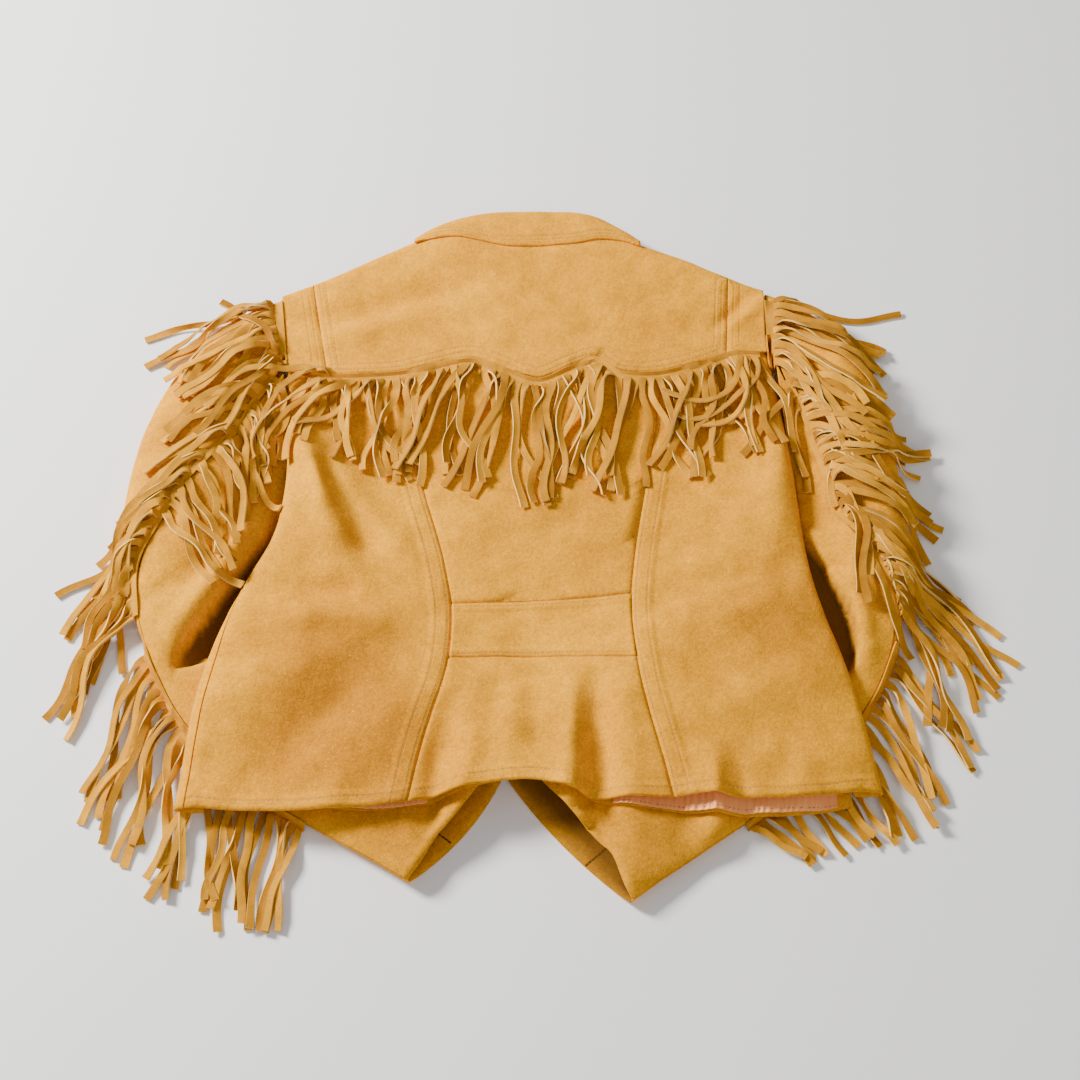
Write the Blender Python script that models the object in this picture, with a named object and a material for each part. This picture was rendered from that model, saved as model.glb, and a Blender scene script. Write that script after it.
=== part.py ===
"""Fringed buckskin jacket, laid face down with both forearms folded in under the body.

Units are metres. +Z is up, +Y runs from the hem to the collar, and the floor is z = 0. The back lies on
top, the two fronts lie beneath it, and each sleeve comes down beside the body, bends at the elbow and
passes under the fronts to its cuff, which shows below the hem. Every cloth piece is a thin wall: its
outer face is worked out from the shape that the jacket takes, and its inner face lies a wall's
thickness in. The strands of the fringes are laid over the finished pieces, one after another.
"""

import math

import bmesh
import bpy
import numpy as np
from mathutils import Matrix

# ---------------------------------------------------------------- driving dimensions
WALL = 0.0018  # buckskin with what is glued or sewn behind it
SLEEVE_WALL = 0.0014
SEAM_GAP = 0.0005  # between two pieces that are sewn edge to edge
LAY_GAP = 0.0006  # between a piece and what it lies on
BODY_THICK = 0.0120  # back face to front face, where the fronts lie on the floor
YOKE_RISE = 0.0034  # how far the yoke's face stands above the back's
FOLD_REACH = 0.0160  # plan width of the rounded fold down each side
ARM_REACH = 0.0450  # how far from a forearm the fronts take to come down to the floor
ARM_REACH_BACK = 0.0900  # the same for the back, which bridges more
SHOULDER_REACH = 0.0150  # plan width of the rounded fold along a shoulder
STRAND_WIDE = 0.0044
STRAND_THICK = 0.0014
STRAND_CLEAR = 0.0011  # under a strand
ROOT_FREE = 0.012  # from a strand's root to its first joint
SLEEVE_CLEAR = 0.014  # how far out from the body a sleeve starts to stand up
SIDE_UNDER = 0.006  # how far a side piece goes on under the body, past its fold
YOKE_COLUMNS = 29
YOKE_ROWS = (0, 0.2, 0.4, 0.6, 0.78, 0.88, 0.94, 0.98, 1)
FRONT_ROWS = (*np.linspace(0, 0.962, 13), 0.976, 0.988, 0.996, 1)
NEARBY = 0.003  # how far apart the slope of a face is measured
TRIES = 40  # ways tried for a strand before it is laid close to another
FINE = 8  # places where a link of a strand is held clear of what is under it
MIDDLE_X = -0.006  # centre back and centre front
ARMPIT_Y = 0.075
ARMHOLE_TURN = 82  # degrees that a side-back panel turns down, as far as SEAM_TURN_Y
SEAM_TURN_Y = -0.030  # where the side seams start to leave the side folds
SEAM_TURN_OVER = 0.075
LAP = 0.007  # how far the yoke laps over the panels below it
OUT = {"left": -1, "right": 1}
SUEDE = ((0.56, 0.33, 0.11), 0.95)  # colour and roughness
SATIN = ((0.80, 0.38, 0.26), 0.45)


def columns(names, *rows):
    """A short table as a dict of its named columns."""
    return dict(zip(names.split(), np.array(rows, float).T))


# Plan outline of the body. Below the armpit it is the side fold, above it the armhole seam.
SIDES = columns(
    "y left right",
    (-0.245, -0.2790, 0.2660),
    (-0.218, -0.2760, 0.2610),
    (-0.190, -0.2730, 0.2560),
    (-0.150, -0.2695, 0.2480),
    (-0.108, -0.2610, 0.2380),
    (-0.057, -0.2445, 0.2225),
    (-0.031, -0.2310, 0.2165),
    (0.008, -0.2130, 0.2115),
    (0.050, -0.2082, 0.2092),
    (0.100, -0.2086, 0.2042),
    (0.140, -0.2130, 0.2010),
    (0.165, -0.2150, 0.1985),
    (0.190, -0.2160, 0.1935),
    (0.245, -0.2230, 0.1935),
)
# Along the body's width: the two hems, and the top edge of the back at the shoulders and the neck.
# "rounded" is 1 where that edge is a folded shoulder and 0 where it is the open neck.
ACROSS = columns(
    "x hem_back hem_front top_back rounded",
    (-0.290, -0.2270, -0.2200, 0.2150, 1.0),
    (-0.246, -0.2350, -0.2280, 0.2390, 1.0),
    (-0.210, -0.2370, -0.2300, 0.2560, 1.0),
    (-0.173, -0.2385, -0.2320, 0.2740, 1.0),
    (-0.140, -0.2360, -0.2350, 0.2905, 1.0),
    (-0.108, -0.2345, -0.2360, 0.3070, 0.6),
    (-0.064, -0.2230, -0.2230, 0.3110, 0.0),
    (-0.031, -0.2170, -0.2100, 0.3110, 0.0),
    (0.009, -0.2165, -0.2100, 0.3110, 0.0),
    (0.030, -0.2260, -0.2240, 0.3110, 0.0),
    (0.060, -0.2295, -0.2330, 0.3090, 0.0),
    (0.092, -0.2280, -0.2355, 0.3000, 0.6),
    (0.120, -0.2255, -0.2370, 0.2905, 1.0),
    (0.152, -0.2275, -0.2380, 0.2745, 1.0),
    (0.207, -0.2260, -0.2350, 0.2510, 1.0),
    (0.240, -0.2200, -0.2270, 0.2350, 1.0),
    (0.275, -0.2150, -0.2160, 0.2150, 1.0),
)
# The yoke's scalloped lower edge, from one armhole to the other.
YOKE_EDGE = columns(
    "x y",
    (-0.230, 0.1680),
    (-0.177, 0.1640),
    (-0.120, 0.1660),
    (-0.088, 0.1750),
    (-0.058, 0.1815),
    (-0.035, 0.1725),
    (0.000, 0.1600),
    (0.026, 0.1720),
    (0.048, 0.1810),
    (0.068, 0.1675),
    (0.095, 0.1660),
    (0.125, 0.1725),
    (0.162, 0.1870),
    (0.210, 0.1885),
)
# Seams that run up and down the back: the princess seams, and the seams of the shoulder strips.
SEAMS = columns(
    "y princess_left princess_right strip_left strip_right",
    (-0.240, -0.1010, 0.1045, -0.1600, 0.1500),
    (-0.197, -0.0930, 0.0945, -0.1620, 0.1510),
    (-0.161, -0.0840, 0.0855, -0.1640, 0.1520),
    (-0.120, -0.0730, 0.0775, -0.1660, 0.1530),
    (-0.063, -0.0700, 0.0725, -0.1690, 0.1540),
    (-0.011, -0.0780, 0.0765, -0.1720, 0.1550),
    (0.055, -0.0960, 0.0870, -0.1750, 0.1560),
    (0.172, -0.1180, 0.1050, -0.1810, 0.1580),
    (0.257, -0.1300, 0.1150, -0.1960, 0.1630),
)
WAIST = columns("x top bottom", (-0.10, -0.055, -0.109), (0.00, -0.051, -0.103), (0.10, -0.043, -0.108))
# Soft folds pressed into or standing out of the back, as ridges from one end to the other.
FOLDS = columns(
    "x0 y0 x1 y1 width height",
    (-0.200, 0.100, -0.140, -0.010, 0.020, 0.0080),  # from the left armpit
    (-0.168, 0.125, -0.118, 0.010, 0.024, -0.0030),  # the trough beside it
    (-0.235, -0.060, -0.115, -0.092, 0.020, 0.0035),
    (-0.230, -0.185, -0.130, -0.088, 0.020, -0.0030),
    (0.110, -0.070, 0.205, -0.122, 0.018, 0.0035),
    (0.130, -0.110, 0.165, -0.140, 0.018, -0.0025),
    (0.010, -0.170, -0.010, -0.245, 0.034, 0.0050),  # the hem stands over the cuffs
    (0.044, -0.150, 0.050, -0.245, 0.020, -0.0055),
    (-0.040, -0.148, -0.082, -0.215, 0.014, -0.0030),
    (0.124, -0.190, 0.128, -0.245, 0.012, 0.0060),  # a wave of the hem
    (-0.150, 0.235, -0.050, 0.256, 0.013, -0.0028),
    (0.185, 0.262, 0.150, 0.212, 0.012, -0.0030),
    (0.200, 0.120, 0.185, 0.020, 0.018, 0.0040),
)
# Where the fringe of a forearm lies between the floor and the fronts, which it holds up.
BEDS = columns(
    "x0 y0 x1 y1 half height",
    (-0.272, -0.190, -0.225, -0.245, 0.042, 0.0072),
    (0.254, -0.175, 0.205, -0.240, 0.042, 0.0072),
)
# Sleeves, station by station from the armhole to the cuff: the plan points of the outer and the inner
# edge, how high the sleeve stands beside the body, how high it lies under the body, and where round the
# sleeve its fringed seam and its hidden seam run, in degrees from the outer edge (90 is on top).
SLEEVE_LEFT = columns(
    "outer_x outer_y inner_x inner_y stand lie seam hidden",
    (-0.2245, 0.2450, -0.2080, 0.0740, 0.020, 0.010, 87, 240),
    (-0.2620, 0.2270, -0.2090, 0.0620, 0.027, 0.010, 91, 240),
    (-0.3000, 0.1840, -0.2100, 0.0440, 0.033, 0.010, 96, 240),
    (-0.3260, 0.1280, -0.2100, 0.0220, 0.035, 0.010, 90, 240),
    (-0.3370, 0.0750, -0.2070, -0.0050, 0.035, 0.011, 78, 240),
    (-0.3430, 0.0220, -0.1990, -0.0290, 0.034, 0.012, 63, 236),
    (-0.3370, -0.0250, -0.1900, -0.0470, 0.032, 0.012, 40, 226),
    (-0.3230, -0.0690, -0.1790, -0.0610, 0.030, 0.012, 18, 208),
    (-0.3010, -0.1190, -0.1650, -0.0730, 0.027, 0.012, 8, 194),
    (-0.2740, -0.1620, -0.1470, -0.0840, 0.022, 0.012, 8, 190),
    (-0.2390, -0.1990, -0.1220, -0.1000, 0.016, 0.013, 8, 190),
    (-0.1960, -0.2310, -0.0920, -0.1240, 0.015, 0.014, 8, 190),
    (-0.1500, -0.2580, -0.0570, -0.1540, 0.017, 0.017, 8, 190),
    (-0.1010, -0.2850, -0.0270, -0.1900, 0.021, 0.021, 8, 190),
)
SLEEVE_RIGHT = columns(
    "outer_x outer_y inner_x inner_y stand lie seam hidden",
    (0.1950, 0.2530, 0.2070, 0.0740, 0.020, 0.010, 84, 240),
    (0.2330, 0.2330, 0.2105, 0.0620, 0.027, 0.010, 101, 240),
    (0.2680, 0.1900, 0.2115, 0.0440, 0.033, 0.010, 110, 240),
    (0.2880, 0.1330, 0.2115, 0.0220, 0.035, 0.010, 107, 240),
    (0.2950, 0.0780, 0.2085, -0.0060, 0.035, 0.011, 99, 240),
    (0.3000, 0.0250, 0.2000, -0.0330, 0.034, 0.012, 84, 236),
    (0.3010, -0.0260, 0.1850, -0.0550, 0.033, 0.012, 62, 226),
    (0.2900, -0.0700, 0.1680, -0.0730, 0.031, 0.012, 30, 208),
    (0.2740, -0.1120, 0.1520, -0.0850, 0.028, 0.012, 10, 194),
    (0.2500, -0.1520, 0.1330, -0.0990, 0.022, 0.012, 8, 190),
    (0.2190, -0.1900, 0.1070, -0.1170, 0.016, 0.013, 8, 190),
    (0.1760, -0.2270, 0.0750, -0.1390, 0.015, 0.014, 8, 190),
    (0.1250, -0.2640, 0.0360, -0.1620, 0.017, 0.017, 8, 190),
    (0.0700, -0.3010, -0.0260, -0.1950, 0.021, 0.021, 8, 190),
)
SLEEVES = {"left": SLEEVE_LEFT, "right": SLEEVE_RIGHT}
UNDER_FROM = 4  # the first station of a sleeve that reaches in under the body
# Collar, across the back of the neck: the leaf's stitched edge and the roll at its top.
COLLAR = columns(
    "x edge roll",
    (-0.110, 0.3030, 0.3110),
    (-0.094, 0.3080, 0.3240),
    (-0.076, 0.3095, 0.3330),
    (-0.054, 0.3050, 0.3390),
    (-0.030, 0.2990, 0.3420),
    (0.002, 0.2995, 0.3425),
    (0.034, 0.3020, 0.3410),
    (0.052, 0.3060, 0.3350),
    (0.069, 0.3050, 0.3240),
    (0.088, 0.2980, 0.3080),
)
# The collar's ends, which lie under the fronts: neck edge and outer edge, from shoulder to point.
WING = columns(
    "neck_x neck_y outer_x outer_y",
    (0.088, 0.2860, 0.128, 0.2660),
    (0.066, 0.2560, 0.112, 0.2260),
    (0.040, 0.2300, 0.090, 0.1920),
    (0.018, 0.2140, 0.062, 0.1640),
)
NECK_FRONT = columns(
    "x y", (-0.120, 0.3110), (-0.094, 0.2850), (-0.074, 0.2560), (-0.046, 0.2280), (-0.006, 0.2120),
    (0.034, 0.2270), (0.058, 0.2540), (0.078, 0.2820), (0.104, 0.3080),
)

# Fringes: the strands stand apart, each with its root in a narrow backing. Columns: share of the way
# along the backing, the way that a strand sets out (degrees, from +X towards +Y), how far it bends from
# there to its tip, and its length.
YOKE_STRANDS = columns(
    "share angle bend length",
    (0.00, 250, 6, 0.090), (0.08, 262, 4, 0.092), (0.18, 266, 0, 0.100), (0.30, 266, 0, 0.108),
    (0.45, 268, 0, 0.112), (0.60, 267, 2, 0.112), (0.72, 271, 0, 0.104), (0.85, 273, -2, 0.100),
    (0.94, 279, -6, 0.098), (1.00, 286, -8, 0.094),
)
ARMHOLE_LEFT_STRANDS = columns(
    "share angle bend length",
    (0.00, 204, 8, 0.112), (0.35, 210, 12, 0.110), (0.70, 216, 16, 0.106), (1.00, 224, 18, 0.104),
)
ARMHOLE_RIGHT_STRANDS = columns(
    "share angle bend length",
    (0.00, -14, -10, 0.100), (0.35, -26, -16, 0.104), (0.70, -32, -18, 0.104), (1.00, -40, -20, 0.102),
)
SLEEVE_LEFT_STRANDS = columns(
    "share angle bend length",
    (0.00, 196, 16, 0.080), (0.20, 198, 16, 0.080), (0.40, 200, 16, 0.086), (0.60, 203, 18, 0.098),
    (0.70, 206, 20, 0.094), (0.80, 212, 20, 0.092), (0.90, 224, 20, 0.098), (1.00, 240, 16, 0.108),
)
SLEEVE_RIGHT_STRANDS = columns(
    "share angle bend length",
    (0.00, -20, -16, 0.094), (0.20, -24, -16, 0.096), (0.40, -26, -18, 0.100), (0.60, -27, -20, 0.118),
    (0.70, -28, -22, 0.128), (0.80, -32, -22, 0.130), (0.90, -42, -20, 0.124), (1.00, -58, -14, 0.114),
)
FOREARM_LEFT_STRANDS = columns(
    "share angle bend length",
    (0.00, 250, 10, 0.116), (0.35, 254, 6, 0.112), (0.70, 262, 2, 0.098), (1.00, 270, 2, 0.088),
)
FOREARM_RIGHT_STRANDS = columns(
    "share angle bend length",
    (0.00, -60, -8, 0.104), (0.35, -56, -6, 0.090), (0.70, -50, 0, 0.076), (1.00, -50, 4, 0.058),
)


# ---------------------------------------------------------------- curves through the tables
def smooth(table, along, column, at):
    """One column of a table at the given places, on a smooth curve through its rows."""
    knots, values = table[along], table[column]
    rates = np.diff(values) / np.diff(knots)
    slopes = np.concatenate([rates[:1], (rates[1:] + rates[:-1]) / 2, rates[-1:]])
    at = np.clip(np.asarray(at, float), knots[0], knots[-1])
    i = np.clip(np.searchsorted(knots, at) - 1, 0, len(knots) - 2)
    span = knots[i + 1] - knots[i]
    t = (at - knots[i]) / span
    return (
        values[i] * (2 * t**3 - 3 * t**2 + 1)
        + slopes[i] * span * (t**3 - 2 * t**2 + t)
        + values[i + 1] * (3 * t**2 - 2 * t**3)
        + slopes[i + 1] * span * (t**3 - t**2)
    )


def ease(t):
    """0 to 1, with a soft start and end."""
    t = np.clip(t, 0, 1)
    return t * t * (3 - 2 * t)


def to_segment(x, y, a, b):
    """How far (x, y) is from the segment a to b in plan, and how far along it the nearest point is."""
    dx, dy = b[0] - a[0], b[1] - a[1]
    t = np.clip(((x - a[0]) * dx + (y - a[1]) * dy) / (dx * dx + dy * dy), 0, 1)
    return np.hypot(x - a[0] - t * dx, y - a[1] - t * dy), t


# ---------------------------------------------------------------- the form that the jacket takes
def arm_lift(x, y, reach):
    """How high a forearm holds up what lies over it."""
    lift = np.zeros(np.broadcast(x, y).shape)
    for table in SLEEVES.values():
        middle_x = (table["outer_x"] + table["inner_x"]) / 2
        middle_y = (table["outer_y"] + table["inner_y"]) / 2
        half = np.hypot(table["outer_x"] - table["inner_x"], table["outer_y"] - table["inner_y"]) / 2
        for i in range(UNDER_FROM, len(half) - 1):
            away, t = to_segment(x, y, (middle_x[i], middle_y[i]), (middle_x[i + 1], middle_y[i + 1]))
            wide = half[i] + (half[i + 1] - half[i]) * t
            high = table["lie"][i] + (table["lie"][i + 1] - table["lie"][i]) * t + LAY_GAP
            lift = np.maximum(lift, high * ease(1 - (away - wide) / reach))
    return lift


def wing_lift(x, y):
    """How high the collar's ends hold up the fronts over them."""
    centre_x = MIDDLE_X + np.where(x > MIDDLE_X, 1, -1) * 0.078
    away = np.hypot((x - centre_x) / 0.060, (y - 0.225) / 0.085)
    return (WALL + LAY_GAP) * ease((1.75 - away) / 0.5)


def bed_lift(x, y):
    lift = np.zeros(np.broadcast(x, y).shape)
    for x0, y0, x1, y1, half, height in zip(*BEDS.values()):
        away, _ = to_segment(x, y, (x0, y0), (x1, y1))
        lift = np.maximum(lift, height * ease(1 - (away - half) / ARM_REACH))
    return lift


def underside(x, y):
    """Height of the fronts' outer face, which is flat on the floor but for what lies under it."""
    return np.maximum(np.maximum(arm_lift(x, y, ARM_REACH), bed_lift(x, y)), wing_lift(x, y))


def folds(x, y):
    total = np.zeros(np.broadcast(x, y).shape)
    for x0, y0, x1, y1, width, height in zip(*FOLDS.values()):
        away, t = to_segment(x, y, (x0, y0), (x1, y1))
        total = total + height * np.exp(-((away / width) ** 2)) * (0.45 + 0.55 * np.sin(math.pi * t))
    return total


def back_face(x, y):
    """Height of the back's outer face away from its rounded edges."""
    held = np.maximum(arm_lift(x, y, ARM_REACH_BACK), bed_lift(x, y))
    return BODY_THICK + held + folds(x, y) + 0.5 * wing_lift(x, y)


def side_x(side, y):
    return smooth(SIDES, "y", side, y)


def fold_share(y):
    """1 down the sides, where the cloth turns over, and little at the armholes, where it ends."""
    return 0.45 + 0.55 * ease((0.110 - y) / 0.090)


def fold_start(side, y, way_in=0.0):
    """Where the flat of the back ends and the side fold begins."""
    return side_x(side, y) - OUT[side] * (FOLD_REACH * fold_share(y) + way_in)


def body_skin(side, x, y, turn):
    """Points and normals of the body's skin. turn is 0 on the flat of the back, 90 at the very edge and
    180 on the flat of the fronts; x counts only on the flats."""
    reach = FOLD_REACH * fold_share(y)
    angle = np.radians(turn)
    x = np.where((turn > 0) & (turn < 180), fold_start(side, y) + OUT[side] * reach * np.sin(angle), x)
    top, bottom = back_face(x, y), underside(x, y)
    middle, half = (top + bottom) / 2, (top - bottom) / 2
    points = stack(x, y + 0 * x, middle + half * np.cos(angle))
    level = stack(OUT[side] * np.sin(angle) / reach, 0 * x, np.cos(angle) / half)
    return points, unit(level)


def stack(x, y, z):
    return np.stack([x, y, z], axis=-1)


def unit(vectors):
    return vectors / np.linalg.norm(vectors, axis=-1, keepdims=True)


def skin_normals(points_at, first, second, first_step, second_step):
    """Normals of a surface given as a function of two measures, from small steps each way."""
    along_first = points_at(first + first_step, second) - points_at(first - first_step, second)
    along_second = points_at(first, second + second_step) - points_at(first, second - second_step)
    return unit(np.cross(along_first, along_second))


# ---------------------------------------------------------------- making pieces
def material(name, colour, roughness):
    made = bpy.data.materials.new(name)
    made.use_nodes = True
    shader = made.node_tree.nodes["Principled BSDF"]
    shader.inputs["Base Color"].default_value = (*colour, 1)
    shader.inputs["Roughness"].default_value = roughness
    shader.inputs["Metallic"].default_value = 0
    return made


def add(name, mesh, finish):
    piece = bpy.data.objects.new(name, mesh)
    bpy.context.scene.collection.objects.link(piece)
    mesh.materials.append(material(name, *finish))
    mesh.shade_smooth()
    mesh.set_sharp_from_angle(angle=math.radians(50))
    return piece


def sheet(name, points, up, wall=WALL, finish=SUEDE):
    """A wall whose outer face is a grid of points, an array of rows, columns and x y z. up tells whether
    the outer face is the one seen with the columns running right and the rows running away."""
    rows, cols = points.shape[:2]
    bm = bmesh.new()
    bmesh.ops.create_grid(bm, x_segments=cols - 1, y_segments=rows - 1, size=0.5)
    for vertex in bm.verts:
        col = round((vertex.co.x + 0.5) * (cols - 1))
        row = round((vertex.co.y + 0.5) * (rows - 1))
        vertex.co = points[row, col]
    bm.normal_update()
    if not up:
        bmesh.ops.reverse_faces(bm, faces=bm.faces)
    mesh = bpy.data.meshes.new(name)
    bm.to_mesh(mesh)
    bm.free()
    piece = add(name, mesh, finish)
    thick = piece.modifiers.new("wall", "SOLIDIFY")
    thick.thickness = wall
    thick.offset = -1
    thick.use_even_offset = False
    return piece


def shell(name, points, normals, wall=WALL):
    """A wall like that of sheet, with its thickness taken along given normals, so that two pieces that
    meet on a bend have matching edges."""
    rows, cols = points.shape[:2]
    bm = bmesh.new()
    outer = [[bm.verts.new(p) for p in row] for row in points]
    inner = [[bm.verts.new(p) for p in row] for row in points - normals * wall]
    for i in range(rows - 1):
        for j in range(cols - 1):
            for face, way in ((outer, 1), (inner, -1)):
                corners = (face[i][j], face[i][j + 1], face[i + 1][j + 1], face[i + 1][j])
                bm.faces.new(corners[::way])
    ring = [(0, j) for j in range(cols - 1)] + [(i, cols - 1) for i in range(rows - 1)]
    ring += [(rows - 1, j) for j in range(cols - 1, 0, -1)] + [(i, 0) for i in range(rows - 1, 0, -1)]
    for (i, j), (k, m) in zip(ring, ring[1:] + ring[:1]):
        bm.faces.new((outer[k][m], outer[i][j], inner[i][j], inner[k][m]))
    bmesh.ops.recalc_face_normals(bm, faces=bm.faces)
    mesh = bpy.data.meshes.new(name)
    bm.to_mesh(mesh)
    bm.free()
    return add(name, mesh, SUEDE)


def panel(left, right, bottom, top, cols, rows):
    """Plan points of a panel between two seams (x at each y) and two edges (y at each x). rows are the
    shares of the way up at which its rows lie."""
    u, v = np.meshgrid(np.linspace(0, 1, cols), rows)
    x = left(0.0) + (right(0.0) - left(0.0)) * u
    for _ in range(6):
        low, high = bottom(x), top(x)
        y = low + (high - low) * v
        x = left(y) + (right(y) - left(y)) * u
    return x, y


def even(count):
    return np.linspace(0, 1, count)


# ---------------------------------------------------------------- the back
def hem_back(x):
    return smooth(ACROSS, "x", "hem_back", x)


def hem_front(x):
    return smooth(ACROSS, "x", "hem_front", x)


def yoke_edge(x):
    return np.interp(x, YOKE_EDGE["x"], YOKE_EDGE["y"])


def seam(name, shift=0.0):
    return lambda y: smooth(SEAMS, "y", name, y) + shift


def flat_seam(x):
    return lambda y: x + 0 * np.asarray(y, float)


HALF_GAP = SEAM_GAP / 2


def back_skin(x, y):
    points_at = lambda x, y: stack(x, y, back_face(x, y))
    return points_at(x, y), skin_normals(points_at, x, y, NEARBY, NEARBY)


def make_back_centre():
    left, right = seam("princess_left", HALF_GAP), seam("princess_right", -HALF_GAP)
    top = lambda x: smooth(WAIST, "x", "top", x)
    bottom = lambda x: smooth(WAIST, "x", "bottom", x)
    for name, low, high, rows in (
        ("back_centre_upper", lambda x: top(x) + HALF_GAP, lambda x: yoke_edge(x) + LAP, 9),
        ("waistband_inset", lambda x: bottom(x) + HALF_GAP, lambda x: top(x) - HALF_GAP, 4),
        ("back_centre_lower", hem_back, lambda x: bottom(x) - HALF_GAP, 8),
    ):
        x, y = panel(left, right, low, high, 9, even(rows))
        shell(name, *back_skin(x, y))


def make_flank(side, seam_turn):
    """A side-back panel, from the princess seam over the flat of the back and round the side fold to the
    side seam, and the narrow side piece from there on to the flat of the fronts."""
    out = OUT[side]
    inner = seam("princess_" + side, out * HALF_GAP)
    x, y = panel(inner, lambda y: fold_start(side, y), hem_back, lambda x: yoke_edge(x) + LAP, 8, even(14))
    flat, flat_normals = back_skin(x, y)
    edge_y = y[:, -1:]
    last = ARMHOLE_TURN + (seam_turn - ARMHOLE_TURN) * ease((SEAM_TURN_Y - edge_y) / SEAM_TURN_OVER)
    turns = last * np.linspace(0.28, 1, 4)[None, :]
    turned, turned_normals = body_skin(side, 0 * turns, edge_y + 0 * turns, turns)
    points = np.concatenate([flat, turned], axis=1)
    shell("back_side_" + side, points, np.concatenate([flat_normals, turned_normals], axis=1))

    below = edge_y[edge_y[:, 0] < ARMPIT_Y - 0.005]
    first = last[: len(below)] + math.degrees(SEAM_GAP / FOLD_REACH) * 2.4
    turns = first + (168 - first) * even(4 if seam_turn > 60 else 7)[None, :]
    turned, turned_normals = body_skin(side, 0 * turns, below + 0 * turns, turns)
    flat_x = fold_start(side, below, np.array([[0.0, SIDE_UNDER]]))
    flat, flat_normals = body_skin(side, flat_x, below + 0 * flat_x, np.full_like(flat_x, 180.0))
    points = np.concatenate([turned, flat], axis=1)
    shell("side_" + side, points, np.concatenate([turned_normals, flat_normals], axis=1))


def yoke_face(x, y):
    """Height of the yoke's outer face, which turns down at the folded edge of a shoulder."""
    top = smooth(ACROSS, "x", "top_back", x)
    rounded = np.clip(smooth(ACROSS, "x", "rounded", x), 0, 1)
    near = np.clip(1 - (top - y) / SHOULDER_REACH, 0, 1)
    face = back_face(x, y) + YOKE_RISE
    drop = face - shoulder_meeting(x) - WALL / 2
    return face - rounded * drop * (1 - np.sqrt(1 - near**2))


def shoulder_meeting(x):
    """Height at which the yoke and the fronts meet along the fold of a shoulder."""
    top = smooth(ACROSS, "x", "top_back", x)
    return (back_face(x, top) + YOKE_RISE + underside(x, top)) / 2


def make_yoke():
    top = lambda x: smooth(ACROSS, "x", "top_back", x)
    armhole_left = lambda y: side_x("left", y) + HALF_GAP
    armhole_right = lambda y: side_x("right", y) - HALF_GAP
    for name, left, right, cols in (
        ("shoulder_strip_left", armhole_left, seam("strip_left", -HALF_GAP), 4),
        ("yoke", seam("strip_left", HALF_GAP), seam("strip_right", -HALF_GAP), YOKE_COLUMNS),
        ("shoulder_strip_right", seam("strip_right", HALF_GAP), armhole_right, 4),
    ):
        x, y = panel(left, right, yoke_edge, top, cols, YOKE_ROWS)
        sheet(name, stack(x, y, yoke_face(x, y)), True)


# ---------------------------------------------------------------- the fronts
def make_front(side):
    """Half of the front, outer face down, from the centre to the side piece or the armhole."""
    out = OUT[side]
    centre = flat_seam(MIDDLE_X + out * HALF_GAP)
    way_in = lambda y: (SIDE_UNDER + 5 * SEAM_GAP) * ease((ARMPIT_Y + 0.045 - y) / 0.030)
    rim = lambda y: fold_start(side, y, way_in(y))
    shoulder = lambda x: smooth(ACROSS, "x", "top_back", x) - 0.0006
    neck = lambda x: smooth(NECK_FRONT, "x", "y", x)
    folded = lambda x: (x < NECK_FRONT["x"][1]) | (x > NECK_FRONT["x"][-2])
    top = lambda x: np.where(folded(x), shoulder(x), np.minimum(neck(x), shoulder(x)))
    x, y = panel(centre, rim, hem_front, top, 10, FRONT_ROWS)
    near = np.where(folded(x), np.clip(1 - (shoulder(x) - y) / SHOULDER_REACH, 0, 1), 0)
    rise = shoulder_meeting(x) - WALL / 2 - SEAM_GAP - underside(x, shoulder(x))
    z = underside(x, y) + rise * (1 - np.sqrt(1 - near**2))
    sheet("front_" + side, stack(x, y, z), side == "left")


def make_lining(name, first_x, last_x, gathers):
    """The satin inside a front's hem, gathered into the seam that holds it."""
    cols = 2 * gathers + 1
    x = np.linspace(first_x, last_x, cols)[None, :] * np.ones((4, 1))
    depth = np.array([0.006, 0.011, 0.026, 0.060])[:, None]
    puff = np.array([0.0002, 0.0012, 0.0014, 0.0010])[:, None]
    y = hem_front(x) + depth
    wave = (np.arange(cols) % 2)[None, :] * puff
    z = underside(x, y) + WALL + 2 * LAY_GAP + 0.0011 + wave
    sheet(name, stack(x, y, z), True, wall=0.0007, finish=SATIN)


# ---------------------------------------------------------------- the collar
def make_collar():
    """The leaf lies on the yoke, rolls over the neck edge and ends in the stand beneath."""
    x = np.linspace(COLLAR["x"][0], COLLAR["x"][-1], 17)[None, :]
    edge, roll = smooth(COLLAR, "x", "edge", x), smooth(COLLAR, "x", "roll", x)
    neck = smooth(ACROSS, "x", "top_back", x)
    share = np.array([0, 0.5, 1])[:, None]
    leaf_y = edge + (np.maximum(neck, edge + 0.001) - edge) * share
    leaf_z = yoke_face(x, np.minimum(leaf_y, neck)) + WALL + LAY_GAP * (1.2 + share)
    turn = np.radians(np.array([28, 62, 96, 132, 160])[:, None])
    reach = np.maximum(roll - leaf_y[-1], WALL * 2.4)
    deep = np.maximum(leaf_z[-1] - WALL, 2 * WALL) / 2
    roll_y = leaf_y[-1] + reach * np.sin(turn)
    roll_z = leaf_z[-1] - deep * (1 - np.cos(turn))
    y, z = np.concatenate([leaf_y, roll_y]), np.concatenate([leaf_z, roll_z])
    sheet("collar", stack(x + 0 * y, y, z), True)


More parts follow.
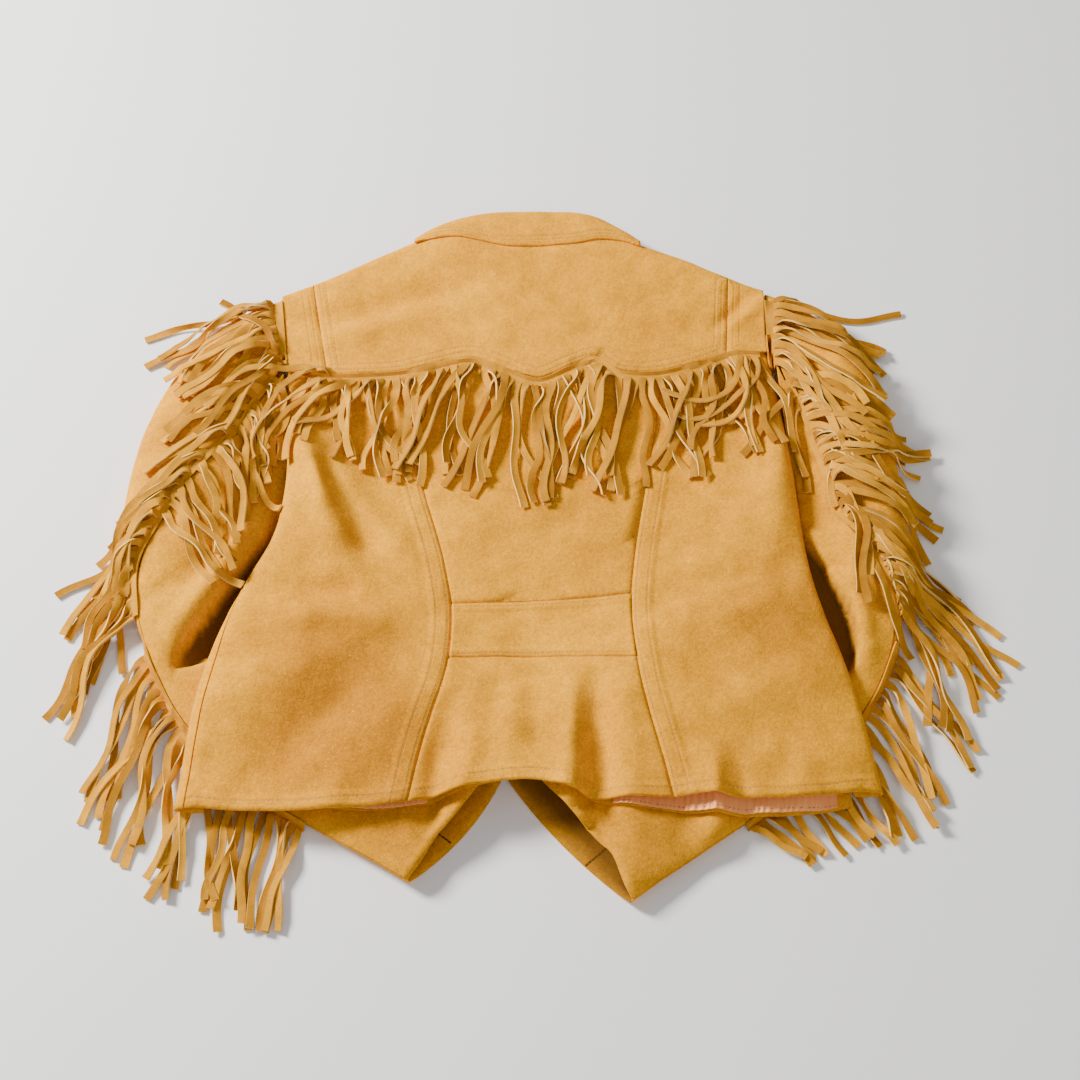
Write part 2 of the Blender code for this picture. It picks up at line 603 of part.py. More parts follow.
def make_wing(side):
    out = OUT[side]
    t = np.linspace(0, 1, 6)[:, None]
    share = np.linspace(0, 1, len(WING["neck_x"]))
    table = dict(WING, share=share)
    neck_x, neck_y = smooth(table, "share", "neck_x", t), smooth(table, "share", "neck_y", t)
    outer_x, outer_y = smooth(table, "share", "outer_x", t), smooth(table, "share", "outer_y", t)
    u = np.linspace(0, 1, 4)[None, :]
    x = MIDDLE_X + out * (neck_x + (outer_x - neck_x) * u)
    y = neck_y + (outer_y - neck_y) * u
    sheet("collar_end_" + side, stack(x, y, np.zeros_like(x)), side == "right")


# ---------------------------------------------------------------- the sleeves
def sleeve_skin(side, station, angle):
    """A point of a sleeve's skin: angle is 0 at its outer edge, 90 on top and 180 at its inner edge."""
    at = sleeve_table(side)
    get = lambda column: smooth(at, "station", column, station)
    turn = np.radians(angle)
    share = (1 - np.sign(np.cos(turn)) * np.abs(np.cos(turn)) ** 0.85) / 2
    x = get("outer_x") + (get("inner_x") - get("outer_x")) * share
    y = get("outer_y") + (get("inner_y") - get("outer_y")) * share
    beside = OUT[side] * (x - side_x(side, y)) - SLEEVE_CLEAR
    seat = get("lie") + (BODY_THICK + 0.004 - get("lie")) * ease((y - 0.060) / 0.060)
    high = seat + np.maximum(get("stand") - seat, 0) * ease(beside / 0.045)
    edge = 0.45 * np.minimum(high, 0.020)
    full = np.minimum(1.0, 1.06 * np.abs(np.sin(turn)) ** 0.72)
    over = edge + (high - edge) * full
    under = edge * (1 - full)
    return stack(x, y, np.where(np.sin(turn) >= 0, over, under))


def sleeve_table(side):
    table = SLEEVES[side]
    return {"station": np.arange(len(table["lie"]), dtype=float), **table}


def make_sleeve(side):
    """Two pieces: the outer one runs from the hidden seam round the outer edge up to the fringed seam,
    and turns into the underside of the forearm; the inner one takes the rest."""
    table = sleeve_table(side)
    station = np.linspace(0, table["station"][-1], 16)[:, None]
    seam_at = smooth(table, "station", "seam", station)
    hidden = smooth(table, "station", "hidden", station)
    gap = math.degrees(SEAM_GAP / 0.030)
    for name, first, last in (("outer", hidden - 360, seam_at), ("inner", seam_at, hidden)):
        angle = first + gap + (last - first - 2 * gap) * even(11)[None, :]
        spots = station + 0 * angle
        points_at = lambda station, angle: sleeve_skin(side, station, angle)
        normals = skin_normals(points_at, spots, angle, 0.2, 5.0) * OUT[side] * -1
        shell("sleeve_" + side + "_" + name, points_at(spots, angle), normals, SLEEVE_WALL)


# ---------------------------------------------------------------- fringe
class Landscape:
    """Heights of what is already laid, on a fine square grid, for laying strands over it."""

    CELL = 0.001
    LOW_X, LOW_Y, COLS, ROWS = -0.46, -0.42, 920, 880

    def __init__(self):
        self.height = np.zeros((self.ROWS, self.COLS))

    def cell(self, x, y):
        col = np.clip(((x - self.LOW_X) / self.CELL).astype(int), 0, self.COLS - 1)
        row = np.clip(((y - self.LOW_Y) / self.CELL).astype(int), 0, self.ROWS - 1)
        return row, col

    def lay(self, x, y, z):
        np.maximum.at(self.height, self.cell(x, y), z)

    def add_piece(self, piece):
        """Raises the map to the faces of a piece, sampled closer than a cell."""
        graph = bpy.context.evaluated_depsgraph_get()
        mesh = piece.evaluated_get(graph).to_mesh()
        mesh.calc_loop_triangles()
        points = np.empty(len(mesh.vertices) * 3)
        mesh.vertices.foreach_get("co", points)
        corners = np.empty(len(mesh.loop_triangles) * 3, int)
        mesh.loop_triangles.foreach_get("vertices", corners)
        a, b, c = points.reshape(-1, 3)[corners.reshape(-1, 3)].transpose(1, 0, 2)
        steps = np.linspace(0, 1, 24)
        for s in steps:
            for t in steps[steps <= 1 - s + 1e-9]:
                self.lay(*(a + (b - a) * s + (c - a) * t).T)

    def over(self, x, y, reach):
        """The highest thing within a reach of each point."""
        found = np.zeros(np.shape(x))
        cells = round(reach / self.CELL)
        row, col = self.cell(x, y)
        for dr in range(-cells, cells + 1):
            for dc in range(-cells, cells + 1):
                if dr * dr + dc * dc > (cells + 0.5) ** 2:
                    continue
                near = self.height[
                    np.clip(row + dr, 0, self.ROWS - 1), np.clip(col + dc, 0, self.COLS - 1)
                ]
                found = np.maximum(found, near)
        return found


def aim_strand(root, angle, length, bend, links):
    """Plan of one strand: the share of its length, x, y and direction at its joints."""
    share = np.concatenate([[0], np.linspace(ROOT_FREE / length, 1, links)])
    way = np.radians(angle + bend * share)
    step = np.diff(share) * length
    x = root[0] + np.concatenate([[0], np.cumsum(np.cos(way[1:]) * step)])
    y = root[1] + np.concatenate([[0], np.cumsum(np.sin(way[1:]) * step)])
    return share, x, y, way


def apart(aim, others):
    """The least plan distance between one strand and others."""
    fine = even(30)
    at = lambda one: np.interp(fine, one[0], one[1]) + 1j * np.interp(fine, one[0], one[2])
    mine = at(aim)[:, None]
    return min((np.abs(mine - at(other)[None, :]).min() for other in others), default=1.0)


def drape_strand(land, root, aim, links):
    """Middle points of one strand, laid over what is there."""
    share, x, y, _ = aim
    fine = share[1] + (1 - share[1]) * even(FINE * (links - 1) + 1)
    fine_x, fine_y = np.interp(fine, share, x), np.interp(fine, share, y)
    least = land.over(fine_x, fine_y, STRAND_WIDE / 2 + 0.0005) + STRAND_THICK / 2 + STRAND_CLEAR
    most = [least[max(0, (n - 1) * FINE) : (n + 1) * FINE + 1].max() for n in range(links)]
    z = least[::FINE].copy()
    for _ in range(60):
        short = least - np.interp(fine, share[1:], z)
        worst = int(np.argmax(short))
        if short[worst] <= 1e-5:
            break
        before = max(worst - 1, 0) // FINE
        for node in (before, before + 1):
            z[node] = min(z[node] + short[worst], most[node])
    return stack(x, y, np.concatenate([[root[2]], z]))


def record_strand(land, middle, aim):
    share, way = aim[0], aim[3]
    fine = share[1] * 0.4 + (1 - share[1] * 0.4) * even(160)
    x, y, z = (np.interp(fine, share, middle[:, k]) for k in range(3))
    turned = np.interp(fine, share, way) + math.pi / 2
    for across in np.linspace(-0.5, 0.5, 7) * STRAND_WIDE:
        land.lay(x + np.cos(turned) * across, y + np.sin(turned) * across, z + STRAND_THICK / 2)


def fringe(land, name, path, strands, count, deep, clear, links, seed, spread):
    """One backing along a path, and its strands. path gives x, y and z at a share of its length; the
    backing is a wedge that starts clear of the path and is deep from there to the face that the strands
    grow from. Every second strand is laid over the ones between."""
    chance = np.random.default_rng(seed)
    stops = np.linspace(0, 1, 2 * count + 1)
    x, y, z = path(stops)
    ways = np.radians(smooth(strands, "share", "angle", stops))
    along = np.arctan2(np.gradient(y), np.gradient(x))
    side = np.where(np.sin(ways - along) > 0, 1.0, -1.0)
    normal = along + side * math.pi / 2
    x, y = x + clear * np.cos(normal), y + clear * np.sin(normal)
    front_x, front_y = x + deep * np.cos(normal), y + deep * np.sin(normal)
    half = STRAND_THICK / 2
    front_z = np.maximum(z, half + STRAND_CLEAR)
    for reach in (0, 0.3, 0.6, 1.0):
        ahead = ROOT_FREE * reach
        at_x, at_y = front_x + ahead * np.cos(ways), front_y + ahead * np.sin(ways)
        front_z = np.maximum(front_z, land.over(at_x, at_y, 0.002) + half + STRAND_CLEAR)
    short = np.zeros_like(x)
    for t in np.linspace(0, 1, 7):
        at_x, at_y = x + (front_x - x) * t, y + (front_y - y) * t
        lower_face = z + (front_z - half - z) * t
        short = np.maximum(short, land.over(at_x, at_y, 0.0012) + LAY_GAP - lower_face)
    z, front_z = z + short, front_z + short
    bm = bmesh.new()
    inner = [bm.verts.new(p) for p in zip(x, y, z)]
    low = [bm.verts.new(p) for p in zip(front_x, front_y, front_z - half)]
    high = [bm.verts.new(p) for p in zip(front_x, front_y, front_z + half)]
    for i in range(2 * count):
        bm.faces.new((inner[i], inner[i + 1], high[i + 1], high[i]))
        bm.faces.new((inner[i + 1], inner[i], low[i], low[i + 1]))
        if i % 2 == 0:
            bm.faces.new((low[i], low[i + 1], high[i + 1], high[i]))
    bm.faces.new((inner[0], high[0], low[0]))
    bm.faces.new((inner[-1], low[-1], high[-1]))
    for layer in (0, 1):
        laid = []
        for i in range(1 + 2 * layer, 2 * count, 4):
            root = [low[i], low[i + 1], high[i + 1], high[i]]
            centre = (root[0].co + root[2].co) / 2
            share = (stops[i] + stops[i + 1]) / 2
            get = lambda column: float(smooth(strands, "share", column, share))
            length = get("length") * (1 + chance.normal(0, 0.05))
            tries = []
            for _ in range(TRIES):
                lean = (spread if layer else -spread) * chance.uniform(0.3, 1)
                angle, bend = get("angle") + lean * 0.3, get("bend") + lean * 2 + chance.normal(0, 3)
                tries.append(aim_strand(centre, angle, length, bend, links))
            room = [apart(aim, [other for _, other in laid]) for aim in tries]
            free = [aim for aim, space in zip(tries, room) if space > STRAND_WIDE + 0.001]
            aim = free[0] if free else tries[int(np.argmax(room))]
            middle, way = drape_strand(land, centre, aim, links), aim[3]
            laid.append((middle, aim))
            ring = root
            for point, direction in zip(middle[1:], way[1:]):
                across = np.array([-math.sin(direction), math.cos(direction), 0]) * STRAND_WIDE / 2
                if np.dot(across[:2], (ring[1].co - ring[0].co)[:2]) < 0:
                    across = -across
                up = np.array([0, 0, half])
                corners = (point - across - up, point + across - up, point + across + up,
                           point - across + up)
                after = [bm.verts.new(corner) for corner in corners]
                for k in range(4):
                    bm.faces.new((ring[k], ring[(k + 1) % 4], after[(k + 1) % 4], after[k]))
                ring = after
            bm.faces.new(ring)
        for strand in laid:
            record_strand(land, *strand)
    bmesh.ops.recalc_face_normals(bm, faces=bm.faces)
    if bm.calc_volume(signed=True) < 0:
        bmesh.ops.reverse_faces(bm, faces=bm.faces)
    mesh = bpy.data.meshes.new(name)
    bm.to_mesh(mesh)
    bm.free()
    return add(name, mesh, SUEDE)


def between(first, last):
    return lambda t: first + (last - first) * t


def make_yoke_fringe(land):
    knots = between(smooth(SEAMS, "y", "strip_left", 0.17), smooth(SEAMS, "y", "strip_right", 0.18))(
        np.linspace(0, 1, YOKE_COLUMNS)
    )

    def path(t):
        x = between(-0.197, 0.181)(t)
        inside = (x > knots[0]) & (x < knots[-1])
        y = np.where(inside, np.interp(x, knots, yoke_edge(knots)), yoke_edge(x))
        return x, y, back_face(x, y) + LAY_GAP * 1.2

    fringe(land, "yoke_fringe", path, YOKE_STRANDS, 50, 0.0060, 0.0007, 3, 3, 5)


def make_armhole_fringe(land, side, strands, seed):
    def path(t):
        y = between(0.2400, 0.1730)(t)
        x = side_x(side, y)
        return x, y, land.over(x, y, 0.004) + 1.3 * LAY_GAP

    fringe(land, "armhole_fringe_" + side, path, strands, 10, 0.0120, 0.0020, 3, seed, 4)


def make_seam_fringe(land, side, strands):
    """Along the seam of a sleeve, from the armhole to the elbow."""
    table = sleeve_table(side)

    def path(t):
        station = between(0.35, 7.2)(t)
        x, y, z = sleeve_skin(side, station, smooth(table, "station", "seam", station)).T
        return x, y, np.maximum(z, land.over(x, y, 0.002)) + LAY_GAP

    fringe(land, "sleeve_fringe_" + side, path, strands, 26, 0.0035, 0.0014, 4, 11, 4)


def make_forearm_fringe(land, side, strands, last_station, count):
    """Along the outer edge of a forearm, as far as the seam shows."""
    table = sleeve_table(side)

    def path(t):
        station = between(7.5, last_station)(t)
        x, y, z = sleeve_skin(side, station, smooth(table, "station", "seam", station)).T
        return x, y, z

    fringe(land, "forearm_fringe_" + side, path, strands, count, 0.0040, 0.0002, 3, 17, 4)


# ---------------------------------------------------------------- the jacket
def centre_on_origin():
    """Moves every piece so that the middle of the whole outline is over the origin."""
    graph = bpy.context.evaluated_depsgraph_get()
    corners = []
    for piece in bpy.data.objects:
        mesh = piece.evaluated_get(graph).to_mesh()
        points = np.empty(len(mesh.vertices) * 3)
        mesh.vertices.foreach_get("co", points)
        corners += [points.reshape(-1, 3).min(axis=0), points.reshape(-1, 3).max(axis=0)]
    middle = (np.min(corners, axis=0) + np.max(corners, axis=0)) / 2
    for piece in bpy.data.objects:
        piece.data.transform(Matrix.Translation((-middle[0], -middle[1], 0)))


def main():
    for old in list(bpy.data.objects):
        bpy.data.objects.remove(old)
    land = Landscape()
    for side in ("left", "right"):
        make_sleeve(side)
    bpy.context.view_layer.update()
    for piece in list(bpy.data.objects):
        land.add_piece(piece)
    make_forearm_fringe(land, "left", FOREARM_LEFT_STRANDS, 11.4, 22)
    make_forearm_fringe(land, "right", FOREARM_RIGHT_STRANDS, 11.2, 19)
    laid = set(bpy.data.objects)
    make_back_centre()
    make_flank("left", 26)
    make_flank("right", 118)
    make_yoke()
    for side in ("left", "right"):
        make_front(side)
        make_wing(side)
    make_collar()
    make_lining("lining_right", 0.055, 0.226, 16)
    make_lining("lining_left", -0.150, -0.085, 6)
    bpy.context.view_layer.update()
    for piece in set(bpy.data.objects) - laid:
        land.add_piece(piece)
    make_yoke_fringe(land)
    make_armhole_fringe(land, "left", ARMHOLE_LEFT_STRANDS, 5)
    make_armhole_fringe(land, "right", ARMHOLE_RIGHT_STRANDS, 8)
    make_seam_fringe(land, "left", SLEEVE_LEFT_STRANDS)
    make_seam_fringe(land, "right", SLEEVE_RIGHT_STRANDS)
    bpy.context.view_layer.update()
    centre_on_origin()


main()
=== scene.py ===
import math
from functools import partial

import bmesh
import bpy
import numpy as np
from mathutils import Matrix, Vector


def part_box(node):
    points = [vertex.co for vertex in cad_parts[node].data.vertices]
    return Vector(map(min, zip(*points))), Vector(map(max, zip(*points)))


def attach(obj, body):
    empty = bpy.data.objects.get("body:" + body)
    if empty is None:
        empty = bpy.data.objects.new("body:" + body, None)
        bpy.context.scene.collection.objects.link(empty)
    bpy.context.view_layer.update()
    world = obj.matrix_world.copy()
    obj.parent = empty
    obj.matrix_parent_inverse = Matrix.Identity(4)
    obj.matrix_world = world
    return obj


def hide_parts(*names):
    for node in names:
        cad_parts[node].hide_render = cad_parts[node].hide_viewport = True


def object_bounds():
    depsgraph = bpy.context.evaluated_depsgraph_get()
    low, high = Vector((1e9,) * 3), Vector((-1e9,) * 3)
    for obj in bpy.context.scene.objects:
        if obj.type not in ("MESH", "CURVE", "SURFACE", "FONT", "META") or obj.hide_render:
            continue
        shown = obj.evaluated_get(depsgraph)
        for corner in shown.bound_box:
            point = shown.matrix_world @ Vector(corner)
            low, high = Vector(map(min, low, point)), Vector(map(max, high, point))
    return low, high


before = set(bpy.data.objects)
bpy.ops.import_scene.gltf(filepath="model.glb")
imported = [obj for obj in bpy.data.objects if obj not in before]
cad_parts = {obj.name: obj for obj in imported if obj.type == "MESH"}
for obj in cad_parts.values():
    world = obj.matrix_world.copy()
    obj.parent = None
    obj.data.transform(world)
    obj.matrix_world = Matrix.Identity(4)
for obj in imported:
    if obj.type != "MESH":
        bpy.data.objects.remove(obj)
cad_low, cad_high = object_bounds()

# ---------------------------------------------------------------- camera
# Someone at the hem looks down on the jacket, which lies face down, through a short telephoto lens.
LOOK_AT = Vector((0.0145, -0.0050, 0.0200))
LOOK_DOWN = math.radians(60)
LOOK_FROM = 1.80
FILM_WIDE = 36  # mm, as is the lens
LENS = 74.4
LENS_NEAR = 0.05


def add(name, data):
    """Puts a new object into the scene."""
    made = bpy.data.objects.new(name, data)
    bpy.context.scene.collection.objects.link(made)
    return made


camera = add("camera", bpy.data.cameras.new("camera"))
bpy.context.scene.camera = camera
camera.data.sensor_width = FILM_WIDE
camera.data.lens = LENS
camera.data.clip_start = LENS_NEAR
away = Vector((0, -math.cos(LOOK_DOWN), math.sin(LOOK_DOWN)))
camera.location = LOOK_AT + away * LOOK_FROM
camera.rotation_euler = (-away).to_track_quat("-Z", "Y").to_euler()

# ---------------------------------------------------------------- floor and light
# A white table top in a light tent, with a soft lamp at the left, and a paler one behind the camera.
FLOOR_SIZE = 12.0
FLOOR_DROP = 0.0004  # keeps its face clear of the hide's
TABLE_WHITE = (0.94, 0.94, 0.935)
TENT_WHITE = (1.0, 0.995, 0.985)
TENT_GLOW = 0.40


def plain(name, tint, roughness):
    made = bpy.data.materials.new(name)
    made.use_nodes = True
    shader = made.node_tree.nodes["Principled BSDF"]
    shader.inputs["Base Color"].default_value = (*tint, 1)
    shader.inputs["Roughness"].default_value = roughness
    return made


def show(name, shape):
    """Makes an object of a bmesh, and frees the bmesh."""
    mesh = bpy.data.meshes.new(name)
    shape.to_mesh(mesh)
    shape.free()
    return add(name, mesh)


ground = bmesh.new()
bmesh.ops.create_grid(ground, x_segments=1, y_segments=1, size=FLOOR_SIZE / 2)
bmesh.ops.translate(ground, verts=ground.verts, vec=(0, 0, -FLOOR_DROP))
floor = show("floor", ground)
floor.data.materials.append(plain("white_table", TABLE_WHITE, 0.6))


def lamp(name, place, size, power, tint):
    """A square lamp that faces the middle of the table."""
    light = bpy.data.lights.new(name, "AREA")
    light.shape = "SQUARE"
    light.size = size
    light.energy = power
    light.color = tint
    made = add(name, light)
    made.location = place
    made.rotation_euler = (-Vector(place)).to_track_quat("-Z", "Y").to_euler()


lamp("tent_side", (-1.75, 0.85, 1.30), size=0.6, power=136, tint=(1.0, 0.985, 0.95))
lamp("tent_front", (0.9, -2.2, 2.2), size=2.4, power=22, tint=(1.0, 0.99, 0.98))
world = bpy.data.worlds.new("tent")
world.use_nodes = True
sky = world.node_tree.nodes["Background"]
sky.inputs["Color"].default_value = (*TENT_WHITE, 1)
sky.inputs["Strength"].default_value = TENT_GLOW
bpy.context.scene.world = world

# ---------------------------------------------------------------- the back
# Four long panels and a waistband inset of sueded split hide, sewn edge to edge with their allowances
# glued open, so that the seams lie as fine grooves. The hide drapes in broad soft folds.
WELD = 1e-6
FLAT_ENOUGH = math.radians(40)  # triangles that meet this flat, and as square as this, are joined
SQUARE_ENOUGH = math.radians(70)
RIM_ANGLE = math.radians(48)
RIM_CREASE = 1.0
NAP_LIGHT = (0.880, 0.380, 0.008)
NAP_MIDDLE = (0.760, 0.310, 0.007)
NAP_DEEP = (0.520, 0.194, 0.008)
NAP_FLECK = (0.980, 0.560, 0.060)
# the near-black painted shade in the sleeves' folds and the cuffs' mouths
PAINTED_SHADE_COLOUR = (0.090, 0.040, 0.012)
HEM_ROW = 0.0080
HEM_WELT = 0.0095
WELT_HIGH = 0.0008
WELT_SOFT = 0.0050
GROOVE_FLAT = 0.0002
GROOVE_HALF = 0.0014
GROOVE_DEEP = 0.00022
# the share of the colour kept in the painted shade along stitch grooves
GROOVE_PAINTED_SHADE = 0.97
# Noise patterns of the nap, as scale, detail, roughness and warp.
PATCHES = (8.5, 3.0, 0.55, 0.7)
WEAR = (7.0, 3.0, 0.6, 0.8)
MOTTLE = (70, 3.0, 0.6)
TUFTS = (330, 3.0, 0.65)
FLECKS = (520, 1.0, 0.5)
FIBRES = (950, 2.0, 0.7)


class Finish:
    """A material under construction: adds nodes and joins them."""

    def __init__(self, name):
        self.material = bpy.data.materials.new(name)
        self.material.use_nodes = True
        self.tree = self.material.node_tree
        self.shader = self.tree.nodes["Principled BSDF"]
        self.shader.inputs["Metallic"].default_value = 0
        self.place = self.node("ShaderNodeTexCoord").outputs["Object"]

    def fill(self, node, sockets):
        """Sets a node's inputs, or joins them to what they come from."""
        for name, value in sockets.items():
            if isinstance(value, bpy.types.NodeSocket):
                self.tree.links.new(value, node.inputs[name])
            else:
                node.inputs[name].default_value = value
        return node

    def node(self, kind, sockets=None, **settings):
        made = self.tree.nodes.new(kind)
        for key, value in settings.items():
            setattr(made, key, value)
        return self.fill(made, sockets or {})

    def attribute(self, name):
        return self.node("ShaderNodeAttribute", attribute_name=name).outputs["Fac"]

    def noise(self, scale, detail=2.0, rough=0.5, warp=0.0):
        sockets = {"Scale": scale, "Detail": detail, "Roughness": rough, "Distortion": warp}
        return self.node("ShaderNodeTexNoise", {"Vector": self.place, **sockets}).outputs["Fac"]

    def span(self, value, low, high, to_low=0.0, to_high=1.0):
        sockets = {"From Min": low, "From Max": high, "To Min": to_low, "To Max": to_high}
        made = self.node("ShaderNodeMapRange", interpolation_type="SMOOTHSTEP")
        return self.fill(made, {"Value": value, **sockets}).outputs["Result"]

    def mix(self, share, first, second, blend="MIX"):
        made = self.node("ShaderNodeMix", data_type="RGBA", blend_type=blend)
        self.fill(made, {"Factor": share, "A": first, "B": second})
        return next(s for s in made.outputs if s.type == "RGBA")

    def toned(self, base, value, low, high, dark, light):
        """A colour times dark where value is low, and times light where it is high."""
        tone = self.span(value, low, high, dark, light)
        grey = self.node("ShaderNodeCombineColor", {"Red": tone, "Green": tone, "Blue": tone})
        return self.mix(1.0, base, grey.outputs["Color"], "MULTIPLY")

    def math(self, operation, *values):
        made = self.node("ShaderNodeMath", dict(enumerate(values)), operation=operation)
        return made.outputs["Value"]

    def bump(self, height, depth, strength, under=None):
        made = self.node("ShaderNodeBump", {"Height": height, "Distance": depth, "Strength": strength})
        return self.fill(made, {"Normal": under} if under else {}).outputs["Normal"]


def colour(rgb, tone=1.0):
    return (*(min(1.0, channel * tone) for channel in rgb), 1)


def suede(hide, base, **relief):
    """Gives a finish the dull nap's gloss, and its soft glow at a glancing angle."""
    hide.fill(hide.shader, {
        "Base Color": base, "Roughness": 0.95, "Specular IOR Level": 0.05,
        "Sheen Weight": 0.06, "Sheen Roughness": 0.50, "Sheen Tint": (1.0, 0.55, 0.12, 1), **relief,
    })
    return hide.material


def buckskin(name, tone=1.0, grain=1.0, rows=(), welt=0.0):
    """Sueded hide: patches where the nap was brushed one way or the other, patches of wear and of painted
    shade and light, a grain of short fibres, and flecks where the fibres catch the light. Stitching pulls
    in a groove at each of rows, which are distances from the seam, with painted shade along it, and the
    turned-in edge makes a welt.
    The hem has a row and a welt too. Folds and cuff mouths get a near-black painted shade."""
    hide = Finish(name)
    patches = hide.span(hide.noise(*PATCHES), 0.30, 0.70)
    brushed = hide.mix(patches, colour(NAP_MIDDLE, tone), colour(NAP_LIGHT, tone))
    # random wear, plus the listed patches of nap wear and of painted shade and light
    wear_and_shade = hide.math("ADD", hide.math("MULTIPLY", hide.noise(*WEAR), 0.7), hide.attribute("nap_and_shade"))
    brushed = hide.mix(hide.span(wear_and_shade, 0.30, 1.10, 0.0, 0.9), brushed, colour(NAP_DEEP, tone))
    mottle, tufts, fibres = (hide.noise(*kind) for kind in (MOTTLE, TUFTS, FIBRES))
    brushed = hide.toned(brushed, mottle, 0.2, 0.8, 0.86, 1.10)
    brushed = hide.toned(brushed, tufts, 0.25, 0.75, 0.84, 1.12)
    brushed = hide.toned(brushed, fibres, 0.25, 0.75, 1 - 0.22 * grain, 1 + 0.16 * grain)
    soft = hide.bump(tufts, 0.0009, 0.45, hide.bump(mottle, 0.0016, 0.35))
    for attribute, places, edge in (("from_seam", rows, welt), ("from_hem", (HEM_ROW,), HEM_WELT)):
        away = hide.attribute(attribute)
        if edge:
            soft = hide.bump(hide.span(away, edge, edge + WELT_SOFT, 1.0, 0.0), WELT_HIGH, 1.0, soft)
        for place in places:
            off = hide.math("ABSOLUTE", hide.math("SUBTRACT", away, place))
            soft = hide.bump(hide.span(off, GROOVE_FLAT, GROOVE_HALF), GROOVE_DEEP, 1.0, soft)
            # paints shade along the groove
            brushed = hide.toned(brushed, off, 0.0, GROOVE_HALF, GROOVE_PAINTED_SHADE, 1.0)
    flecks = hide.span(hide.noise(*FLECKS), 0.66, 0.80, 0.0, 0.45 * grain)
    brushed = hide.mix(flecks, brushed, colour(NAP_FLECK))
    # painted shade in the sleeves' folds and the cuffs' mouths
    brushed = hide.mix(hide.attribute("painted_shade"), brushed, colour(PAINTED_SHADE_COLOUR))
    return suede(hide, brushed, Normal=hide.bump(fibres, 0.0005, 0.55, soft))


def columns(names, *rows):
    """A short table as a dict of its named columns."""
    return dict(zip(names.split(), np.array(rows, float).T))


def smooth_line(x, y, spacing=0.0010):
    """Plan points along a smooth curve through the given ones, evenly spaced."""
    x, y = np.asarray(x, float), np.asarray(y, float)
    run = np.concatenate([[0], np.cumsum(np.hypot(np.diff(x), np.diff(y)))])
    at = np.linspace(0, run[-1], int(run[-1] / spacing))
    i = np.clip(np.searchsorted(run, at) - 1, 0, len(run) - 2)
    span = run[i + 1] - run[i]
    t = (at - run[i]) / span
    found = []
    for values in (x, y):
        rates = np.diff(values) / np.diff(run)
        slopes = np.concatenate([rates[:1], (rates[1:] + rates[:-1]) / 2, rates[-1:]])
        found.append(
            values[i] * (2 * t**3 - 3 * t**2 + 1) + slopes[i] * span * (t**3 - 2 * t**2 + t)
            + values[i + 1] * (3 * t**2 - 2 * t**3) + slopes[i + 1] * span * (t**3 - t**2)
        )
    return np.array(found).T


def beside(line, aside):
    """The same line, moved to its left by aside."""
    way = np.gradient(line, axis=0)
    way /= np.linalg.norm(way, axis=1, keepdims=True)
    return line + np.stack([-way[:, 1], way[:, 0]], axis=1) * aside


FAR = 1.0  # further than any two places of the jacket
REACH_STEP = 6  # a stretch of so many points counts as straight


def reach_to(line, points):
    """How far plan points lie from a plan line, and the way to its nearest place."""
    away, way = np.full(len(points), FAR), np.zeros((len(points), 2))
    for start, end in zip(line[:-1:REACH_STEP], line[REACH_STEP::REACH_STEP]):
        run = end - start
        t = np.clip((points - start) @ run / (run @ run), 0, 1)
        to_line = start + t[:, None] * run - points
        off = np.linalg.norm(to_line, axis=1)
        closer = off < away
        away[closer], way[closer] = off[closer], to_line[closer]
    return away, way


def ease(t):
    t = np.clip(t, 0, 1)
    return t * t * (3 - 2 * t)


# Plan places are measured on the pattern's own axes, on which the yoke's box starts at YOKE_CORNER.
YOKE_CORNER = Vector((-0.19575, 0.16043))
PLAN = np.array(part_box("yoke")[0][:2]) - np.array(YOKE_CORNER)

PRINCESS = columns(
    "y left right",
    (-0.234, -0.0994, 0.1028), (-0.197, -0.0930, 0.0945), (-0.161, -0.0840, 0.0855),
    (-0.120, -0.0730, 0.0775), (-0.063, -0.0700, 0.0725), (-0.011, -0.0780, 0.0765),
    (0.055, -0.0960, 0.0870), (0.160, -0.1160, 0.1030),
)
WAIST = columns(
    "x top bottom", (-0.070, -0.0540, -0.1075), (0.00, -0.051, -0.103), (0.073, -0.0450, -0.1065)
)
HEM = columns(
    "x y",
    (-0.262, -0.2330), (-0.246, -0.2350), (-0.210, -0.2370), (-0.173, -0.2385), (-0.140, -0.2360),
    (-0.108, -0.2345), (-0.064, -0.2230), (-0.031, -0.2170), (0.009, -0.2165), (0.030, -0.2260),
    (0.060, -0.2295), (0.092, -0.2280), (0.120, -0.2255), (0.152, -0.2275), (0.207, -0.2260),
    (0.240, -0.2200), (0.250, -0.2185),
)
hem_line = smooth_line(HEM["x"], HEM["y"])
princess_lines = {side: smooth_line(PRINCESS[side], PRINCESS["y"]) for side in ("left", "right")}
waist_top, waist_bottom = (smooth_line(WAIST["x"], WAIST[edge]) for edge in ("top", "bottom"))
SEAM_DIP = 0.0012
SEAM_DIP_WIDE = 0.0026
SEAM_REACH = 0.0012  # the edges this near a seam are drawn together
SEAM_LEFT = 0.00008

